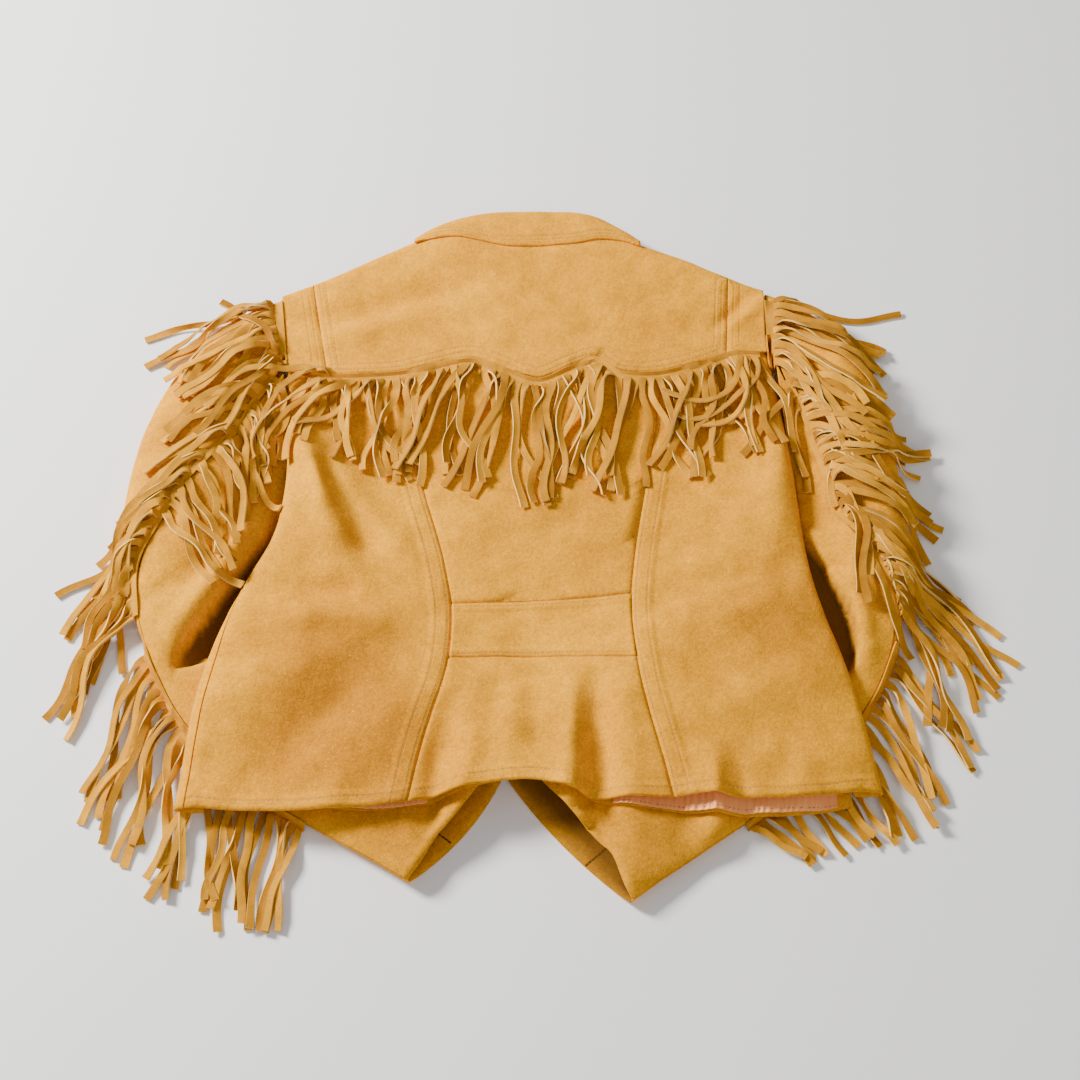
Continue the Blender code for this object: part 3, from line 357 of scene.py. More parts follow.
# Soft creases, as ridges (or troughs, with a height below zero) from one plan place to another.
CREASES = columns(
    "x0 y0 x1 y1 width height",
    (-0.205, 0.214, -0.060, 0.256, 0.0130, -0.0042),  # yoke, left
    (-0.204, 0.191, -0.069, 0.235, 0.0130, 0.0030),
    (0.017, 0.238, 0.085, 0.202, 0.0140, -0.0024),
    (0.030, 0.256, 0.105, 0.224, 0.0130, 0.0020),
    (0.093, 0.191, 0.150, 0.226, 0.0130, -0.0024),
    (-0.060, 0.214, 0.010, 0.196, 0.0140, 0.0018),
    (-0.120, 0.268, -0.030, 0.286, 0.0130, 0.0020),
    (0.040, 0.286, 0.120, 0.262, 0.0140, 0.0018),
    (0.148, 0.214, 0.186, 0.252, 0.0060, -0.0030),  # across the right shoulder strip
    (0.156, 0.206, 0.196, 0.243, 0.0060, 0.0026),
    (-0.198, 0.104, -0.166, 0.010, 0.0120, 0.0100),  # from the left armpit
    (-0.182, 0.086, -0.154, 0.020, 0.0110, -0.0072),
    (-0.156, 0.026, -0.130, -0.018, 0.0120, -0.0076),
    (-0.140, 0.030, -0.104, -0.006, 0.0120, 0.0046),
    (-0.200, -0.070, -0.112, -0.079, 0.0120, 0.0064),  # the left flank, at the waist
    (-0.196, -0.044, -0.140, -0.052, 0.0110, -0.0050),
    (-0.236, -0.096, -0.150, -0.100, 0.0150, -0.0026),
    (-0.262, -0.150, -0.130, -0.086, 0.0180, 0.0056),
    (-0.226, -0.222, -0.126, -0.116, 0.0190, -0.0072),
    (-0.160, -0.226, -0.096, -0.150, 0.0170, 0.0034),
    (-0.064, 0.110, -0.030, 0.060, 0.0130, 0.0024),  # centre back, above the waistband
    (-0.056, 0.040, 0.036, 0.004, 0.0160, 0.0028),
    (-0.030, 0.008, 0.060, 0.036, 0.0150, -0.0026),
    (-0.040, -0.020, 0.020, -0.040, 0.0120, -0.0018),
    (-0.066, -0.080, 0.064, -0.074, 0.0110, 0.0012),
    (0.043, -0.124, 0.046, -0.300, 0.0100, -0.0066),  # flutes below the waistband
    (0.027, -0.130, 0.018, -0.300, 0.0090, 0.0060),
    (0.066, -0.134, 0.070, -0.290, 0.0110, 0.0036),
    (-0.016, -0.124, -0.030, -0.190, 0.0130, 0.0034),
    (-0.070, -0.146, -0.090, -0.280, 0.0090, -0.0050),
    (-0.046, -0.140, -0.066, -0.280, 0.0110, 0.0040),
    (-0.004, -0.150, -0.002, -0.220, 0.0120, -0.0030),
    (0.133, -0.190, 0.133, -0.260, 0.0080, 0.0056),  # a wave of the hem
    (0.152, -0.196, 0.156, -0.260, 0.0090, -0.0034),
    (0.110, -0.192, 0.106, -0.260, 0.0090, -0.0028),
    (0.200, -0.190, 0.206, -0.260, 0.0130, 0.0030),
    (0.095, -0.050, 0.205, -0.024, 0.0150, -0.0036),  # the right flank
    (0.094, -0.076, 0.214, -0.058, 0.0150, 0.0032),
    (0.110, -0.112, 0.160, -0.132, 0.0130, -0.0034),
    (0.130, -0.150, 0.236, -0.116, 0.0180, 0.0034),
    (0.120, -0.186, 0.230, -0.160, 0.0180, -0.0034),
    (0.110, 0.046, 0.196, 0.070, 0.0140, -0.0032),
    (0.116, 0.020, 0.176, 0.010, 0.0150, 0.0026),
    (0.190, 0.076, 0.190, -0.010, 0.0110, 0.0030),
    (0.160, 0.120, 0.180, 0.080, 0.0110, -0.0030),
    (-0.322, -0.064, -0.270, -0.026, 0.0090, -0.0030),  # the sleeves, across
    (-0.318, 0.010, -0.250, 0.040, 0.0110, -0.0040),
    (-0.312, 0.150, -0.250, 0.140, 0.0110, -0.0040),
    (-0.325, 0.100, -0.262, 0.108, 0.0120, 0.0036),
    (-0.290, 0.190, -0.240, 0.160, 0.0100, 0.0034),
    (-0.330, 0.060, -0.280, 0.076, 0.0120, 0.0030),
    (0.255, -0.040, 0.276, -0.070, 0.0070, -0.0030),
    (0.236, 0.040, 0.276, 0.014, 0.0110, -0.0036),
    (0.250, 0.120, 0.285, 0.100, 0.0110, -0.0036),
    (0.236, 0.180, 0.270, 0.150, 0.0110, 0.0034),
    (0.252, 0.066, 0.290, 0.044, 0.0100, 0.0030),
    (-0.150, -0.205, -0.080, -0.250, 0.0110, 0.0026),  # forearms, below the hem
    (-0.130, -0.240, -0.084, -0.268, 0.0090, -0.0022),
    (0.050, -0.226, 0.110, -0.250, 0.0120, 0.0026),
    (0.030, -0.228, 0.082, -0.278, 0.0090, -0.0026),
    (0.024, -0.235, 0.044, -0.222, 0.0034, -0.0028),  # tucks by the right cuff
    (0.030, -0.254, 0.046, -0.240, 0.0030, -0.0022),
)
# Places painted darker (above zero) or paler: partly the nap's own wear and brushing, partly painted shade
# and light where the hide tilts away from or towards the lamp.
NAP_AND_SHADE_PATCHES = columns(
    "x y reach dark",
    (-0.150, -0.120, 0.060, 0.50), (-0.120, -0.190, 0.050, 0.50), (-0.185, -0.185, 0.050, 0.62),
    (-0.176, -0.095, 0.040, 0.42), (-0.146, -0.005, 0.040, -0.35), (0.180, -0.080, 0.060, 0.55),
    (0.150, 0.030, 0.045, 0.25), (0.125, 0.110, 0.030, -0.25), (0.150, -0.190, 0.060, 0.20),
    (0.000, 0.060, 0.040, 0.25), (0.000, -0.075, 0.030, -0.15), (0.010, -0.160, 0.050, -0.20),
    (0.000, 0.225, 0.060, -0.25), (0.090, 0.230, 0.040, 0.25), (-0.130, 0.235, 0.040, 0.05),
    (0.000, 0.310, 0.060, -0.30), (-0.290, 0.080, 0.050, 0.35), (-0.300, -0.020, 0.040, 0.15),
    (0.270, 0.060, 0.060, 0.15), (0.265, -0.060, 0.030, 0.05), (-0.110, -0.255, 0.030, 0.45),
    (0.080, -0.265, 0.040, 0.45),
)
RIPPLES = 14
RIPPLE_DEEP = 0.00022
RIPPLE_LONG = (0.022, 0.075)
RIPPLE_WIDE = 2.3  # times as long across as along
ANY_PHASE = (0, 6.3)
CREASE_FROM = 0.0030  # the cloth is pressed flat where it lies this low
CREASE_OVER = 0.0110
CREASE_BENDS = 0.18  # how far a crease wanders, as a share of its width
CREASE_VARIES = 40
CREASE_ENDS = 0.35  # the share of its height that it keeps at its ends


def folded(table, x, y):
    """Height of the folds in a table at plan places."""
    total = np.zeros_like(x)
    for x0, y0, x1, y1, width, height in zip(*table.values()):
        dx, dy = x1 - x0, y1 - y0
        t = np.clip(((x - x0) * dx + (y - y0) * dy) / (dx * dx + dy * dy), 0, 1)
        bend = CREASE_BENDS * width * np.sin(2 * math.pi * t + CREASE_VARIES * x0)
        off = np.hypot(x - x0 - t * dx, y - y0 - t * dy)
        full = CREASE_ENDS + (1 - CREASE_ENDS) * np.sin(math.pi * t)
        total += height * np.exp(-(((off + bend) / width) ** 2)) * full
    return total


def rumpled(x, y):
    """Height of the small ripples that are all over soft hide."""
    total = np.zeros_like(x)
    chance = np.random.default_rng(4)
    for _ in range(RIPPLES):
        way, length = chance.uniform(0, math.pi), chance.uniform(*RIPPLE_LONG)
        phase = chance.uniform(*ANY_PHASE)
        along = 2 * math.pi * (x * math.cos(way) + y * math.sin(way)) / length
        across = 2 * math.pi * (y * math.cos(way) - x * math.sin(way)) / (length * RIPPLE_WIDE)
        total += RIPPLE_DEEP * np.sin(along + phase) * np.cos(across + 2 * phase)
    return total


def points_of(mesh):
    points = np.empty(len(mesh.vertices) * 3)
    mesh.vertices.foreach_get("co", points)
    return points.reshape(-1, 3)


def crease(mesh, seams, hemmed, opened, rolled):
    """Presses a mesh into the jacket's creases, less the nearer it lies to the floor, and dips it at its
    seams. Keeps each point's distance from seam and hem for the material. opened shapes the points first,
    and rolled once they are creased: it gives the shade painted on each one in a fold."""
    points = points_of(mesh)
    if opened:
        opened(points)
    plan = points[:, :2] - PLAN
    x, y = plan.T
    free = ease((points[:, 2] - CREASE_FROM) / CREASE_OVER)
    points[:, 2] += (folded(CREASES, x, y) + rumpled(x, y)) * free
    # painted shade in the folds, as the sleeves' rolled gives it
    painted_shade = rolled(points) if rolled else np.zeros_like(x)
    # nap wear, partly with painted shade and light, patch by patch
    nap_and_shade = np.zeros_like(x)
    for patch_x, patch_y, reach, dark in zip(*NAP_AND_SHADE_PATCHES.values()):
        nap_and_shade += dark * np.exp(-((x - patch_x) ** 2 + (y - patch_y) ** 2) / reach**2)
    away = np.full(len(plan), FAR)
    for line in seams:
        off, way = reach_to(line, plan)
        closes = off < SEAM_REACH
        points[closes, :2] += way[closes] * (1 - SEAM_LEFT / np.maximum(off[closes], SEAM_LEFT))[:, None]
        away = np.minimum(away, off)
    points[:, 2] -= SEAM_DIP * np.exp(-((away / SEAM_DIP_WIDE) ** 2)) * free
    from_hem = reach_to(hem_line, plan)[0] if hemmed else np.full(len(plan), FAR)
    kept = {"from_seam": away, "from_hem": from_hem, "nap_and_shade": nap_and_shade, "painted_shade": painted_shade}
    for name, values in kept.items():
        mesh.attributes.new(name, "FLOAT", "POINT").data.foreach_set("value", values.astype(np.float32))
    mesh.vertices.foreach_set("co", points.ravel())
    mesh.update()


laid = {}


def settle(piece, node=None):
    """Makes a finished piece part of the jacket, in place of a node's plain solid if it has one."""
    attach(piece, "root")
    if node:
        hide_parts(node)
        laid[node] = piece
    return piece


def cloth(node, finish, levels=3, seams=(), hemmed=False, slot="buckskin", opened=None, rolled=None):
    """A piece's wall, smooth and creased, in place of its plain solid."""
    wall = bmesh.new()
    wall.from_mesh(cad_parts[node].data)
    bmesh.ops.remove_doubles(wall, verts=wall.verts, dist=WELD)
    bmesh.ops.join_triangles(
        wall, faces=wall.faces, angle_face_threshold=FLAT_ENOUGH, angle_shape_threshold=SQUARE_ENOUGH
    )
    held = wall.edges.layers.float.new("crease_edge")
    for edge in wall.edges:
        edge[held] = RIM_CREASE if edge.calc_face_angle(0) > RIM_ANGLE else 0
    plain_wall = show(node + "_wall", wall)
    smooth = plain_wall.modifiers.new("smooth", "SUBSURF")
    smooth.levels = smooth.render_levels = levels
    graph = bpy.context.evaluated_depsgraph_get()
    mesh = bpy.data.meshes.new_from_object(plain_wall.evaluated_get(graph))
    bpy.data.objects.remove(plain_wall)
    crease(mesh, seams, hemmed, opened, rolled)
    mesh.materials.clear()
    mesh.materials.append(finish)
    mesh.shade_smooth()
    return settle(add(node + "_cloth", mesh), node)


PRINCESS_ROWS = (0.0036, 0.0125)
WAIST_ROWS = (0.0036,)
hide_back = buckskin("buckskin_back")
hide_panel = buckskin("buckskin_panel", rows=PRINCESS_ROWS, welt=0.0140)
hide_waist = buckskin("buckskin_waist", rows=WAIST_ROWS, welt=0.0055)
waist_lines = (waist_top, waist_bottom)
cloth("back_centre_upper", hide_back, seams=(*waist_lines, *princess_lines.values()))
cloth("back_centre_lower", hide_back, seams=(*waist_lines, *princess_lines.values()), hemmed=True)
cloth("waistband_inset", hide_waist, seams=waist_lines)
for side, line in princess_lines.items():
    cloth("back_side_" + side, hide_panel, seams=(line,), hemmed=True)

# ---------------------------------------------------------------- sides and fronts
# The side pieces turn under the body at the side folds. The two fronts lie face down on the table, and
# their hem edge shows beneath the back's.
hide_front = buckskin("buckskin_front", 0.97)
for node in ("side_left", "side_right"):
    cloth(node, hide_back)
for node in ("front_left", "front_right"):
    cloth(node, hide_front, 2)

# ---------------------------------------------------------------- yoke and shoulder strips
# The back yoke laps over the panels, and its scalloped lower edge is turned under and stitched twice.
# A narrow strip of the front's hide runs down from each shoulder between the yoke and the armhole.
YOKE_EDGE = columns(
    "x y",
    (-0.1950, 0.1655), (-0.1770, 0.1640), (-0.1200, 0.1660), (-0.0880, 0.1750), (-0.0580, 0.1815),
    (-0.0350, 0.1725), (0.0000, 0.1600), (0.0260, 0.1720), (0.0480, 0.1810), (0.0680, 0.1675),
    (0.0950, 0.1660), (0.1250, 0.1725), (0.1620, 0.1870), (0.1870, 0.1878),
)
STRIP_SEAM = columns("y left right", (0.172, -0.1810, 0.1580), (0.257, -0.1960, 0.1630))
YOKE_ROWS = (0.0052, 0.0105)
yoke_line = smooth_line(YOKE_EDGE["x"], YOKE_EDGE["y"])
strip_lines = {side: smooth_line(STRIP_SEAM[side], STRIP_SEAM["y"]) for side in ("left", "right")}
hide_yoke = buckskin("buckskin_yoke", 1.04, 0.75, YOKE_ROWS)
cloth("yoke", hide_yoke, seams=(yoke_line, *strip_lines.values()))
for side, line in strip_lines.items():
    cloth("shoulder_strip_" + side, hide_yoke, seams=(yoke_line, line))

# ---------------------------------------------------------------- collar
# A turned-down collar: the leaf lies on the yoke and rolls over the neck seam, and its two ends lie
# under the fronts on the table.
COLLAR_EDGE = columns(
    "x y",
    (-0.100, 0.3060), (-0.094, 0.3080), (-0.076, 0.3095), (-0.054, 0.3050), (-0.030, 0.2990),
    (0.002, 0.2995), (0.034, 0.3020), (0.052, 0.3060), (0.069, 0.3050), (0.080, 0.3020),
)
COLLAR_ROWS = (0.0048, 0.0090)
collar_line = smooth_line(COLLAR_EDGE["x"], COLLAR_EDGE["y"])
hide_collar = buckskin("buckskin_collar", 1.04, 0.75, COLLAR_ROWS, 0.0105)
cloth("collar", hide_collar, seams=(collar_line,))
for node in ("collar_end_left", "collar_end_right"):
    cloth(node, hide_front, 2)

# ---------------------------------------------------------------- sleeves
# Two-piece sleeves, filled out a little by their lining: one seam carries the fringe, and the other
# lies hidden beneath. The forearms go in under the body and their cuffs come out below the hem.
FOLD_SOFT = 0.0026
FOLD_PAINTED_SHADE = 0.90
FOLD_GAIN, FOLD_START = 2.2, 0.8  # the painted shade in a fold grows faster than the fold grows deep
RISE_OVER = 0.008
CUFF_OVER = 0.075
CUFF_TAPER = 0.042
CUFF_TIP = 0.030
CUFF_OUT = 0.0040
CUFF_LIES = 0.003  # a cuff's cloth this low stays where it lies
CUFF_RISE = 0.012
TIP_PULL = 0.12  # the share of the drawing back that reaches the tip
TIP_SHARP = 0.4
# the part of a cuff's mouth that gets painted shade, and the reach over which the shade deepens
MOUTH_REACH = 0.016
MOUTH_HIGH = 0.009
MOUTH_FROM, MOUTH_TO = -0.02, 0.12
FACES_UP = 0.2
CUFF_SEAM = 0.045  # from the cuff's tip
CUFF_SEAM_OUT = 0.012
CUFF_SEAM_LONG = 0.06
CUFF_SEAM_SHOWS = 0.036

# Each sleeve has a roll beside the body, and past the roll it dives into a deep fold beneath the side.
# high raises the roll, and deep is the share of its height that the cloth loses in the fold.
ROLLS = (
    columns(
        "x y reach high",
        (-0.2160, 0.0700, 0.0110, 0.0010), (-0.2310, 0.0250, 0.0115, 0.0080),
        (-0.2450, -0.0150, 0.0115, 0.0125), (-0.2560, -0.0365, 0.0120, 0.0130),
        (-0.2710, -0.0590, 0.0130, 0.0120), (-0.2860, -0.0810, 0.0120, 0.0080),
        (-0.2950, -0.1000, 0.0110, 0.0020),
    ),
    columns(
        "x y reach high",
        (0.2190, 0.0100, 0.0080, 0.0050), (0.2340, 0.0020, 0.0090, 0.0060),
        (0.2520, -0.0120, 0.0110, 0.0040), (0.2490, -0.0400, 0.0110, 0.0070),
        (0.2500, -0.0560, 0.0115, 0.0105), (0.2540, -0.0760, 0.0110, 0.0105),
        (0.2570, -0.0960, 0.0110, 0.0080), (0.2540, -0.1150, 0.0100, 0.0010),
    ),
)
FOLDS = (
    columns(
        "x y reach deep",
        (-0.2110, 0.0480, 0.0030, 0.30), (-0.2140, 0.0260, 0.0045, 0.55),
        (-0.2195, 0.0020, 0.0050, 0.75), (-0.2310, -0.0240, 0.0075, 0.85),
        (-0.2378, -0.0460, 0.0110, 0.85), (-0.2494, -0.0700, 0.0145, 0.85),
        (-0.2661, -0.0910, 0.0120, 0.80), (-0.2785, -0.1035, 0.0070, 0.70),
        (-0.2873, -0.1120, 0.0020, 0.30),
    ),
    columns(
        "x y reach deep",
        (0.2085, 0.0080, 0.0030, 0.50), (0.2125, -0.0030, 0.0060, 0.80), (0.2205, -0.0190, 0.0095, 0.90),
        (0.2232, -0.0365, 0.0120, 0.90), (0.2301, -0.0570, 0.0145, 0.90), (0.2352, -0.0765, 0.0135, 0.90),
        (0.2400, -0.0960, 0.0100, 0.85), (0.2400, -0.1110, 0.0060, 0.70), (0.2410, -0.1175, 0.0020, 0.20),
    ),
    columns(
        "x y reach deep",
        (0.2240, -0.0150, 0.0030, 0.50), (0.2400, -0.0230, 0.0022, 0.35), (0.2520, -0.0300, 0.0005, 0.05),
    ),
)

# Each cuff's edge, from its low tip to the sleeve's inner side, how far its upper side is drawn back from
# the lower, how far both bow out, and how much shade is painted into its mouth at the edge, further in,
# and by the tip.
CUFFS = {
    "left": ((-0.1010, -0.2850), (-0.0270, -0.1900), 0.0100, 0.0075, (0.04, 0.42, 0.20)),
    "right": ((0.0700, -0.3010), (-0.0260, -0.1950), 0.0180, 0.0050, (0.34, 0.86, 0.30)),
}


def beside_line(line, x, y):
    """Distance of plan places from a table's line, and the line's last two columns where it is nearest."""
    rows = np.array(list(line.values()))
    away, near = np.full_like(x, FAR), np.zeros((2, len(x)))
    for start, end in zip(rows.T[:-1], rows.T[1:]):
        way = end[:2] - start[:2]
        t = np.clip(((x - start[0]) * way[0] + (y - start[1]) * way[1]) / (way @ way), 0, 1)
        off = np.hypot(x - start[0] - t * way[0], y - start[1] - t * way[1])
        closer = off < away
        away = np.where(closer, off, away)
        near = np.where(closer, start[2:, None] + (end - start)[2:, None] * t, near)
    return away, *near


def roll_sleeves(points):
    """Raises the sleeves' rolls and sinks their folds. Gives the shade painted on each point in a fold."""
    x, y = (points[:, :2] - PLAN).T
    rise = ease(points[:, 2] / RISE_OVER)
    for line in ROLLS:
        off, reach, high = beside_line(line, x, y)
        points[:, 2] += high * np.exp(-((off / reach) ** 2)) * rise
    painted_shade = np.zeros_like(x)
    for line in FOLDS:
        off, reach, deep = beside_line(line, x, y)
        share = ease((reach + FOLD_SOFT - off) / (2 * FOLD_SOFT)) * deep
        points[:, 2] *= 1 - share
        painted_shade = np.maximum(painted_shade, FOLD_PAINTED_SHADE * ease(FOLD_GAIN * share - FOLD_START))
    return painted_shade


def cuff_ways(side):
    """The way along a cuff's edge from its tip, the way into its sleeve, and the edge's length."""
    tip, inner = (np.array(place) for place in CUFFS[side][:2])
    long = np.linalg.norm(inner - tip)
    along = (inner - tip) / long
    return along, np.array([-along[1], along[0]]) * (1 if side == "left" else -1), long


def open_cuff(side, points):
    """Draws back the upper side of a cuff, so that its mouth stands open, and bows out the lower."""
    tip, _, back, bow, _ = CUFFS[side]
    along, inward, long = cuff_ways(side)
    from_tip = points[:, :2] - PLAN - tip
    near_edge = 1 - ease(from_tip @ inward / CUFF_OVER)
    pull = back * ease((points[:, 2] - CUFF_LIES) / CUFF_RISE) * near_edge
    pull *= TIP_PULL + (1 - TIP_PULL) * ease(from_tip @ along / CUFF_TAPER)
    run = np.clip(from_tip @ along / long, 0, 1)
    out = (CUFF_OUT + bow * np.sin(math.pi * run)) * near_edge
    points[:, :2] += inward * (pull - out)[:, None]
    sharp = CUFF_OUT * (1 - ease(np.linalg.norm(from_tip, axis=1) / CUFF_TIP))
    points[:, :2] -= along * sharp[:, None] * TIP_SHARP


def paint_mouth_shade(mesh, side):
    """Paints shade into the inside of a cuff, more the further it lies in under the upper side."""
    tip, _, back, _, (edge, under, corner) = CUFFS[side]
    along, inward, _ = cuff_ways(side)
    points, facing = points_of(mesh), np.empty(len(mesh.vertices) * 3)
    mesh.vertices.foreach_get("normal", facing)
    from_tip = points[:, :2] - PLAN - tip
    into, beyond = from_tip @ inward, from_tip @ along
    inside = (facing[2::3] > FACES_UP) & (points[:, 2] < MOUTH_HIGH)
    inside &= (into > MOUTH_FROM) & (into < MOUTH_TO)
    deep = ease((into + CUFF_OUT + back / 3) / MOUTH_REACH)
    dark = edge + (under - edge) * deep + corner * (1 - ease(beyond / CUFF_TIP)) * deep
    held = np.empty(len(points), np.float32)
    mesh.attributes["painted_shade"].data.foreach_get("value", held)
    held[inside] = np.maximum(held, dark)[inside]
    mesh.attributes["painted_shade"].data.foreach_set("value", held)


hide_sleeve = buckskin("buckskin_sleeve", 0.98, rows=(0.0,))
cuff_rows = []
for side in CUFFS:
    along, inward, _ = cuff_ways(side)
    start = CUFFS[side][0] + along * CUFF_SEAM - inward * CUFF_SEAM_OUT
    end = start + inward * CUFF_SEAM_LONG
    cuff_seam = smooth_line([start[0], end[0]], [start[1], end[1]])
    ways = {"opened": partial(open_cuff, side), "rolled": roll_sleeves}
    outer = cloth(f"sleeve_{side}_outer", hide_sleeve, seams=(cuff_seam,), **ways)
    cloth(f"sleeve_{side}_inner", hide_sleeve, **ways)
    # paints shade into the cuff's mouth
    paint_mouth_shade(outer.data, side)
    shown = int(CUFF_SEAM_SHOWS * (len(cuff_seam) - 1) / CUFF_SEAM_LONG)
    cuff_rows.append((f"sleeve_{side}_outer", cuff_seam[:shown]))

# ---------------------------------------------------------------- lining
# Salmon satin, gathered into the seam that joins it to the facing of the fronts' hem.
SATIN_LIGHT = (1.000, 0.400, 0.115)
SATIN_DEEP = (1.000, 0.310, 0.075)
SATIN_WEAVE = (1400, 1.0, 0.5)
SATIN_SLUB = (60, 2.0, 0.5, 1.0)
GATHER_PITCH = 0.0052
GATHER_DEEP = 0.00045
GATHER_UNEVEN = ((310, 0), (143, 1))
LINING_LAP = 0.0048  # how far it hangs past the back's hem
LINING_TURN = -0.2050
LINING_TURN_OVER = 0.022

satin = Finish("lining_satin")
slub = satin.span(satin.noise(*SATIN_SLUB), 0.35, 0.75, 0.0, 0.5)
satin.fill(satin.shader, {
    "Base Color": satin.mix(slub, colour(SATIN_LIGHT), colour(SATIN_DEEP)),
    "Normal": satin.bump(satin.noise(*SATIN_WEAVE), 0.0001, 0.3),
    "Roughness": 0.55, "Sheen Weight": 0.06, "Sheen Tint": (1.0, 0.72, 0.60, 1),
})
for node in ("lining_left", "lining_right"):
    lining = cloth(node, satin.material, slot="lining_satin")
    points = points_of(lining.data)
    points[:, 1] -= LINING_LAP * ease((LINING_TURN + PLAN[1] - points[:, 1]) / LINING_TURN_OVER)
    gathers = 2 * math.pi * points[:, 0] / GATHER_PITCH
    gathers += sum(np.sin(points[:, 0] * often + start) for often, start in GATHER_UNEVEN)
    points[:, 2] += GATHER_DEEP * np.sin(gathers)
    lining.data.vertices.foreach_set("co", points.ravel())

# ---------------------------------------------------------------- stitching
# Lockstitch in a thread a shade darker than the hide. Each stitch lies sunk in its groove. The cuffs'
# seams get near-black strips of painted groove shade.
STITCH_PITCH = 0.0032
STITCH_SHARE = 0.69
STITCH_WIDE = 0.00055
STITCH_DEEP = 0.0003
STITCH_TAPER = 0.72  # its top against its foot
STITCH_FROM = 0.001
STITCH_STEEP = 1.8  # a stitch that would be stretched this many times is left out
ABOVE = 0.09  # clear above the jacket
STRIP_ROWS = (0.0022, 0.0080)
LINING_ROW = columns(
    "x y",
    (0.058, -0.2300), (0.090, -0.2315), (0.130, -0.2335), (0.170, -0.2335), (0.210, -0.2310),
    (0.224, -0.2280),
)
SEAM_WIDE = 0.0019
SEAM_SHARE = 1.06  # the painted shade of the cuff seam's groove is one unbroken strip
thread = plain("thread", (0.400, 0.205, 0.060), 0.6)
lining_thread = plain("lining_thread", (0.420, 0.080, 0.030), 0.6)
# Near-black strips laid along each cuff's seam: painted shade of its groove.
groove_shade_finish = Finish("cuff_groove_painted_shade")
cuff_groove_painted_shade = suede(groove_shade_finish, colour((0.100, 0.042, 0.008)))


def run_along(line):
    return np.concatenate([[0], np.cumsum(np.linalg.norm(np.diff(line, axis=0), axis=1))])


def stitch(name, rows, finish=thread, wide=STITCH_WIDE, share=STITCH_SHARE):
    """Rows of stitches on the cloth beneath them. A row is a node and a plan line on its piece."""
    long = STITCH_PITCH * share
    sewn = bmesh.new()
    for node, line in rows:
        run = run_along(line)
        for start in np.arange(STITCH_FROM, run[-1] - long, STITCH_PITCH):
            hits = []
            for s in (start, start + long):
                x, y = (np.interp(s, run, line[:, k]) + PLAN[k] for k in (0, 1))
                hits.append(laid[node].ray_cast(Vector((x, y, ABOVE)), Vector((0, 0, -1))))
            if not all(hit[0] for hit in hits):
                continue
            (_, a, up_a, _), (_, b, up_b, _) = hits
            if (b - a).length > STITCH_STEEP * long:
                continue
            along, up = (b - a).normalized(), (up_a + up_b).normalized()
            across = up.cross(along).normalized()
            for corner in bmesh.ops.create_cube(sewn, size=1)["verts"]:
                taper = STITCH_TAPER if corner.co.z > 0 else 1.0
                corner.co = (
                    (a + b) / 2
                    + along * (corner.co.x * long * taper)
                    + across * (corner.co.y * wide * taper)
                    + up * (corner.co.z * STITCH_DEEP)
                )
    piece = show(name, sewn)
    piece.data.materials.append(finish)
    return settle(piece)


def rows_beside(node, line, *aside):
    return [(node, beside(line, off)) for off in aside]


stitch("yoke_stitches", rows_beside("yoke", yoke_line, *YOKE_ROWS))
stitch("collar_stitches", rows_beside("collar", collar_line, *COLLAR_ROWS))
princess_rows, strip_rows, hem_rows = [], [], []
for side, out in (("left", 1), ("right", -1)):
    offs = [out * row for row in PRINCESS_ROWS]
    princess_rows += rows_beside("back_side_" + side, princess_lines[side], *offs)
    strip_rows += rows_beside("yoke", strip_lines[side], *(-out * row for row in STRIP_ROWS))
stitch("princess_stitches", princess_rows)
stitch("strip_stitches", strip_rows)
waist_rows = rows_beside("waistband_inset", waist_top, *(-row for row in WAIST_ROWS))
stitch("waist_stitches", waist_rows + rows_beside("waistband_inset", waist_bottom, *WAIST_ROWS))
lining_row = smooth_line(LINING_ROW["x"], LINING_ROW["y"])
stitch("lining_stitches", [("lining_right", lining_row)], lining_thread)
# near-black strips of painted groove shade across the cuffs
stitch("cuff_seam_shade", cuff_rows, cuff_groove_painted_shade, SEAM_WIDE, SEAM_SHARE)
for node in ("back_side_left", "back_centre_lower", "back_side_right"):
    hem_rows += rows_beside(node, hem_line, HEM_ROW)
stitch("hem_stitches", hem_rows)

# ---------------------------------------------------------------- fringe
# Strips cut side by side into bands of the same hide. Each strand lies where it fell, over what is
# already there: it turns on edge where it leaves the band, and its cut edges are pale.
STRAND_WIDE = 0.0066
STRAND_THICK = 0.0014
STRAND_STEPS = 38
STRAND_ARCH = 0.0002  # least clearance from what a strand lies on
STRAND_FILLS = 0.6  # the most that a strand adds to the map, in its thickness
STRAND_PATCHES = (55, 2.0, 0.5, 0.5)
STRAND_LIGHT = (0.760, 0.345, 0.020)
STRAND_DARK = (0.330, 0.128, 0.006)
CUT_EDGE = (0.880, 0.560, 0.160)
CUT_SOFT = math.radians(40)
BAND_THICK = 0.0015
BAND_ROWS = (0, 0.35, 0.7, 1)  # shares of its depth, and how high it lies, in its thickness
BAND_LIES, BAND_RISES = 0.60, 0.15
BAND_TONE = 0.75
BAND_SLOT = 2  # past the strands' faces and their cut edges
ROOT_STRAIGHT = 0.007
ROOT_TUCKED = 0.25
BUNCH_BREAK = 0.38  # how many strands start a new bunch, which falls its own way
BUNCH_MOST = 1.5
BUNCH_WAY, BUNCH_BEND = 10, 14  # degrees, as are the next three
STRAND_WAY, STRAND_BEND = 6, 11
SWING = (4, 22)
WAVES = (0.8, 1.9)
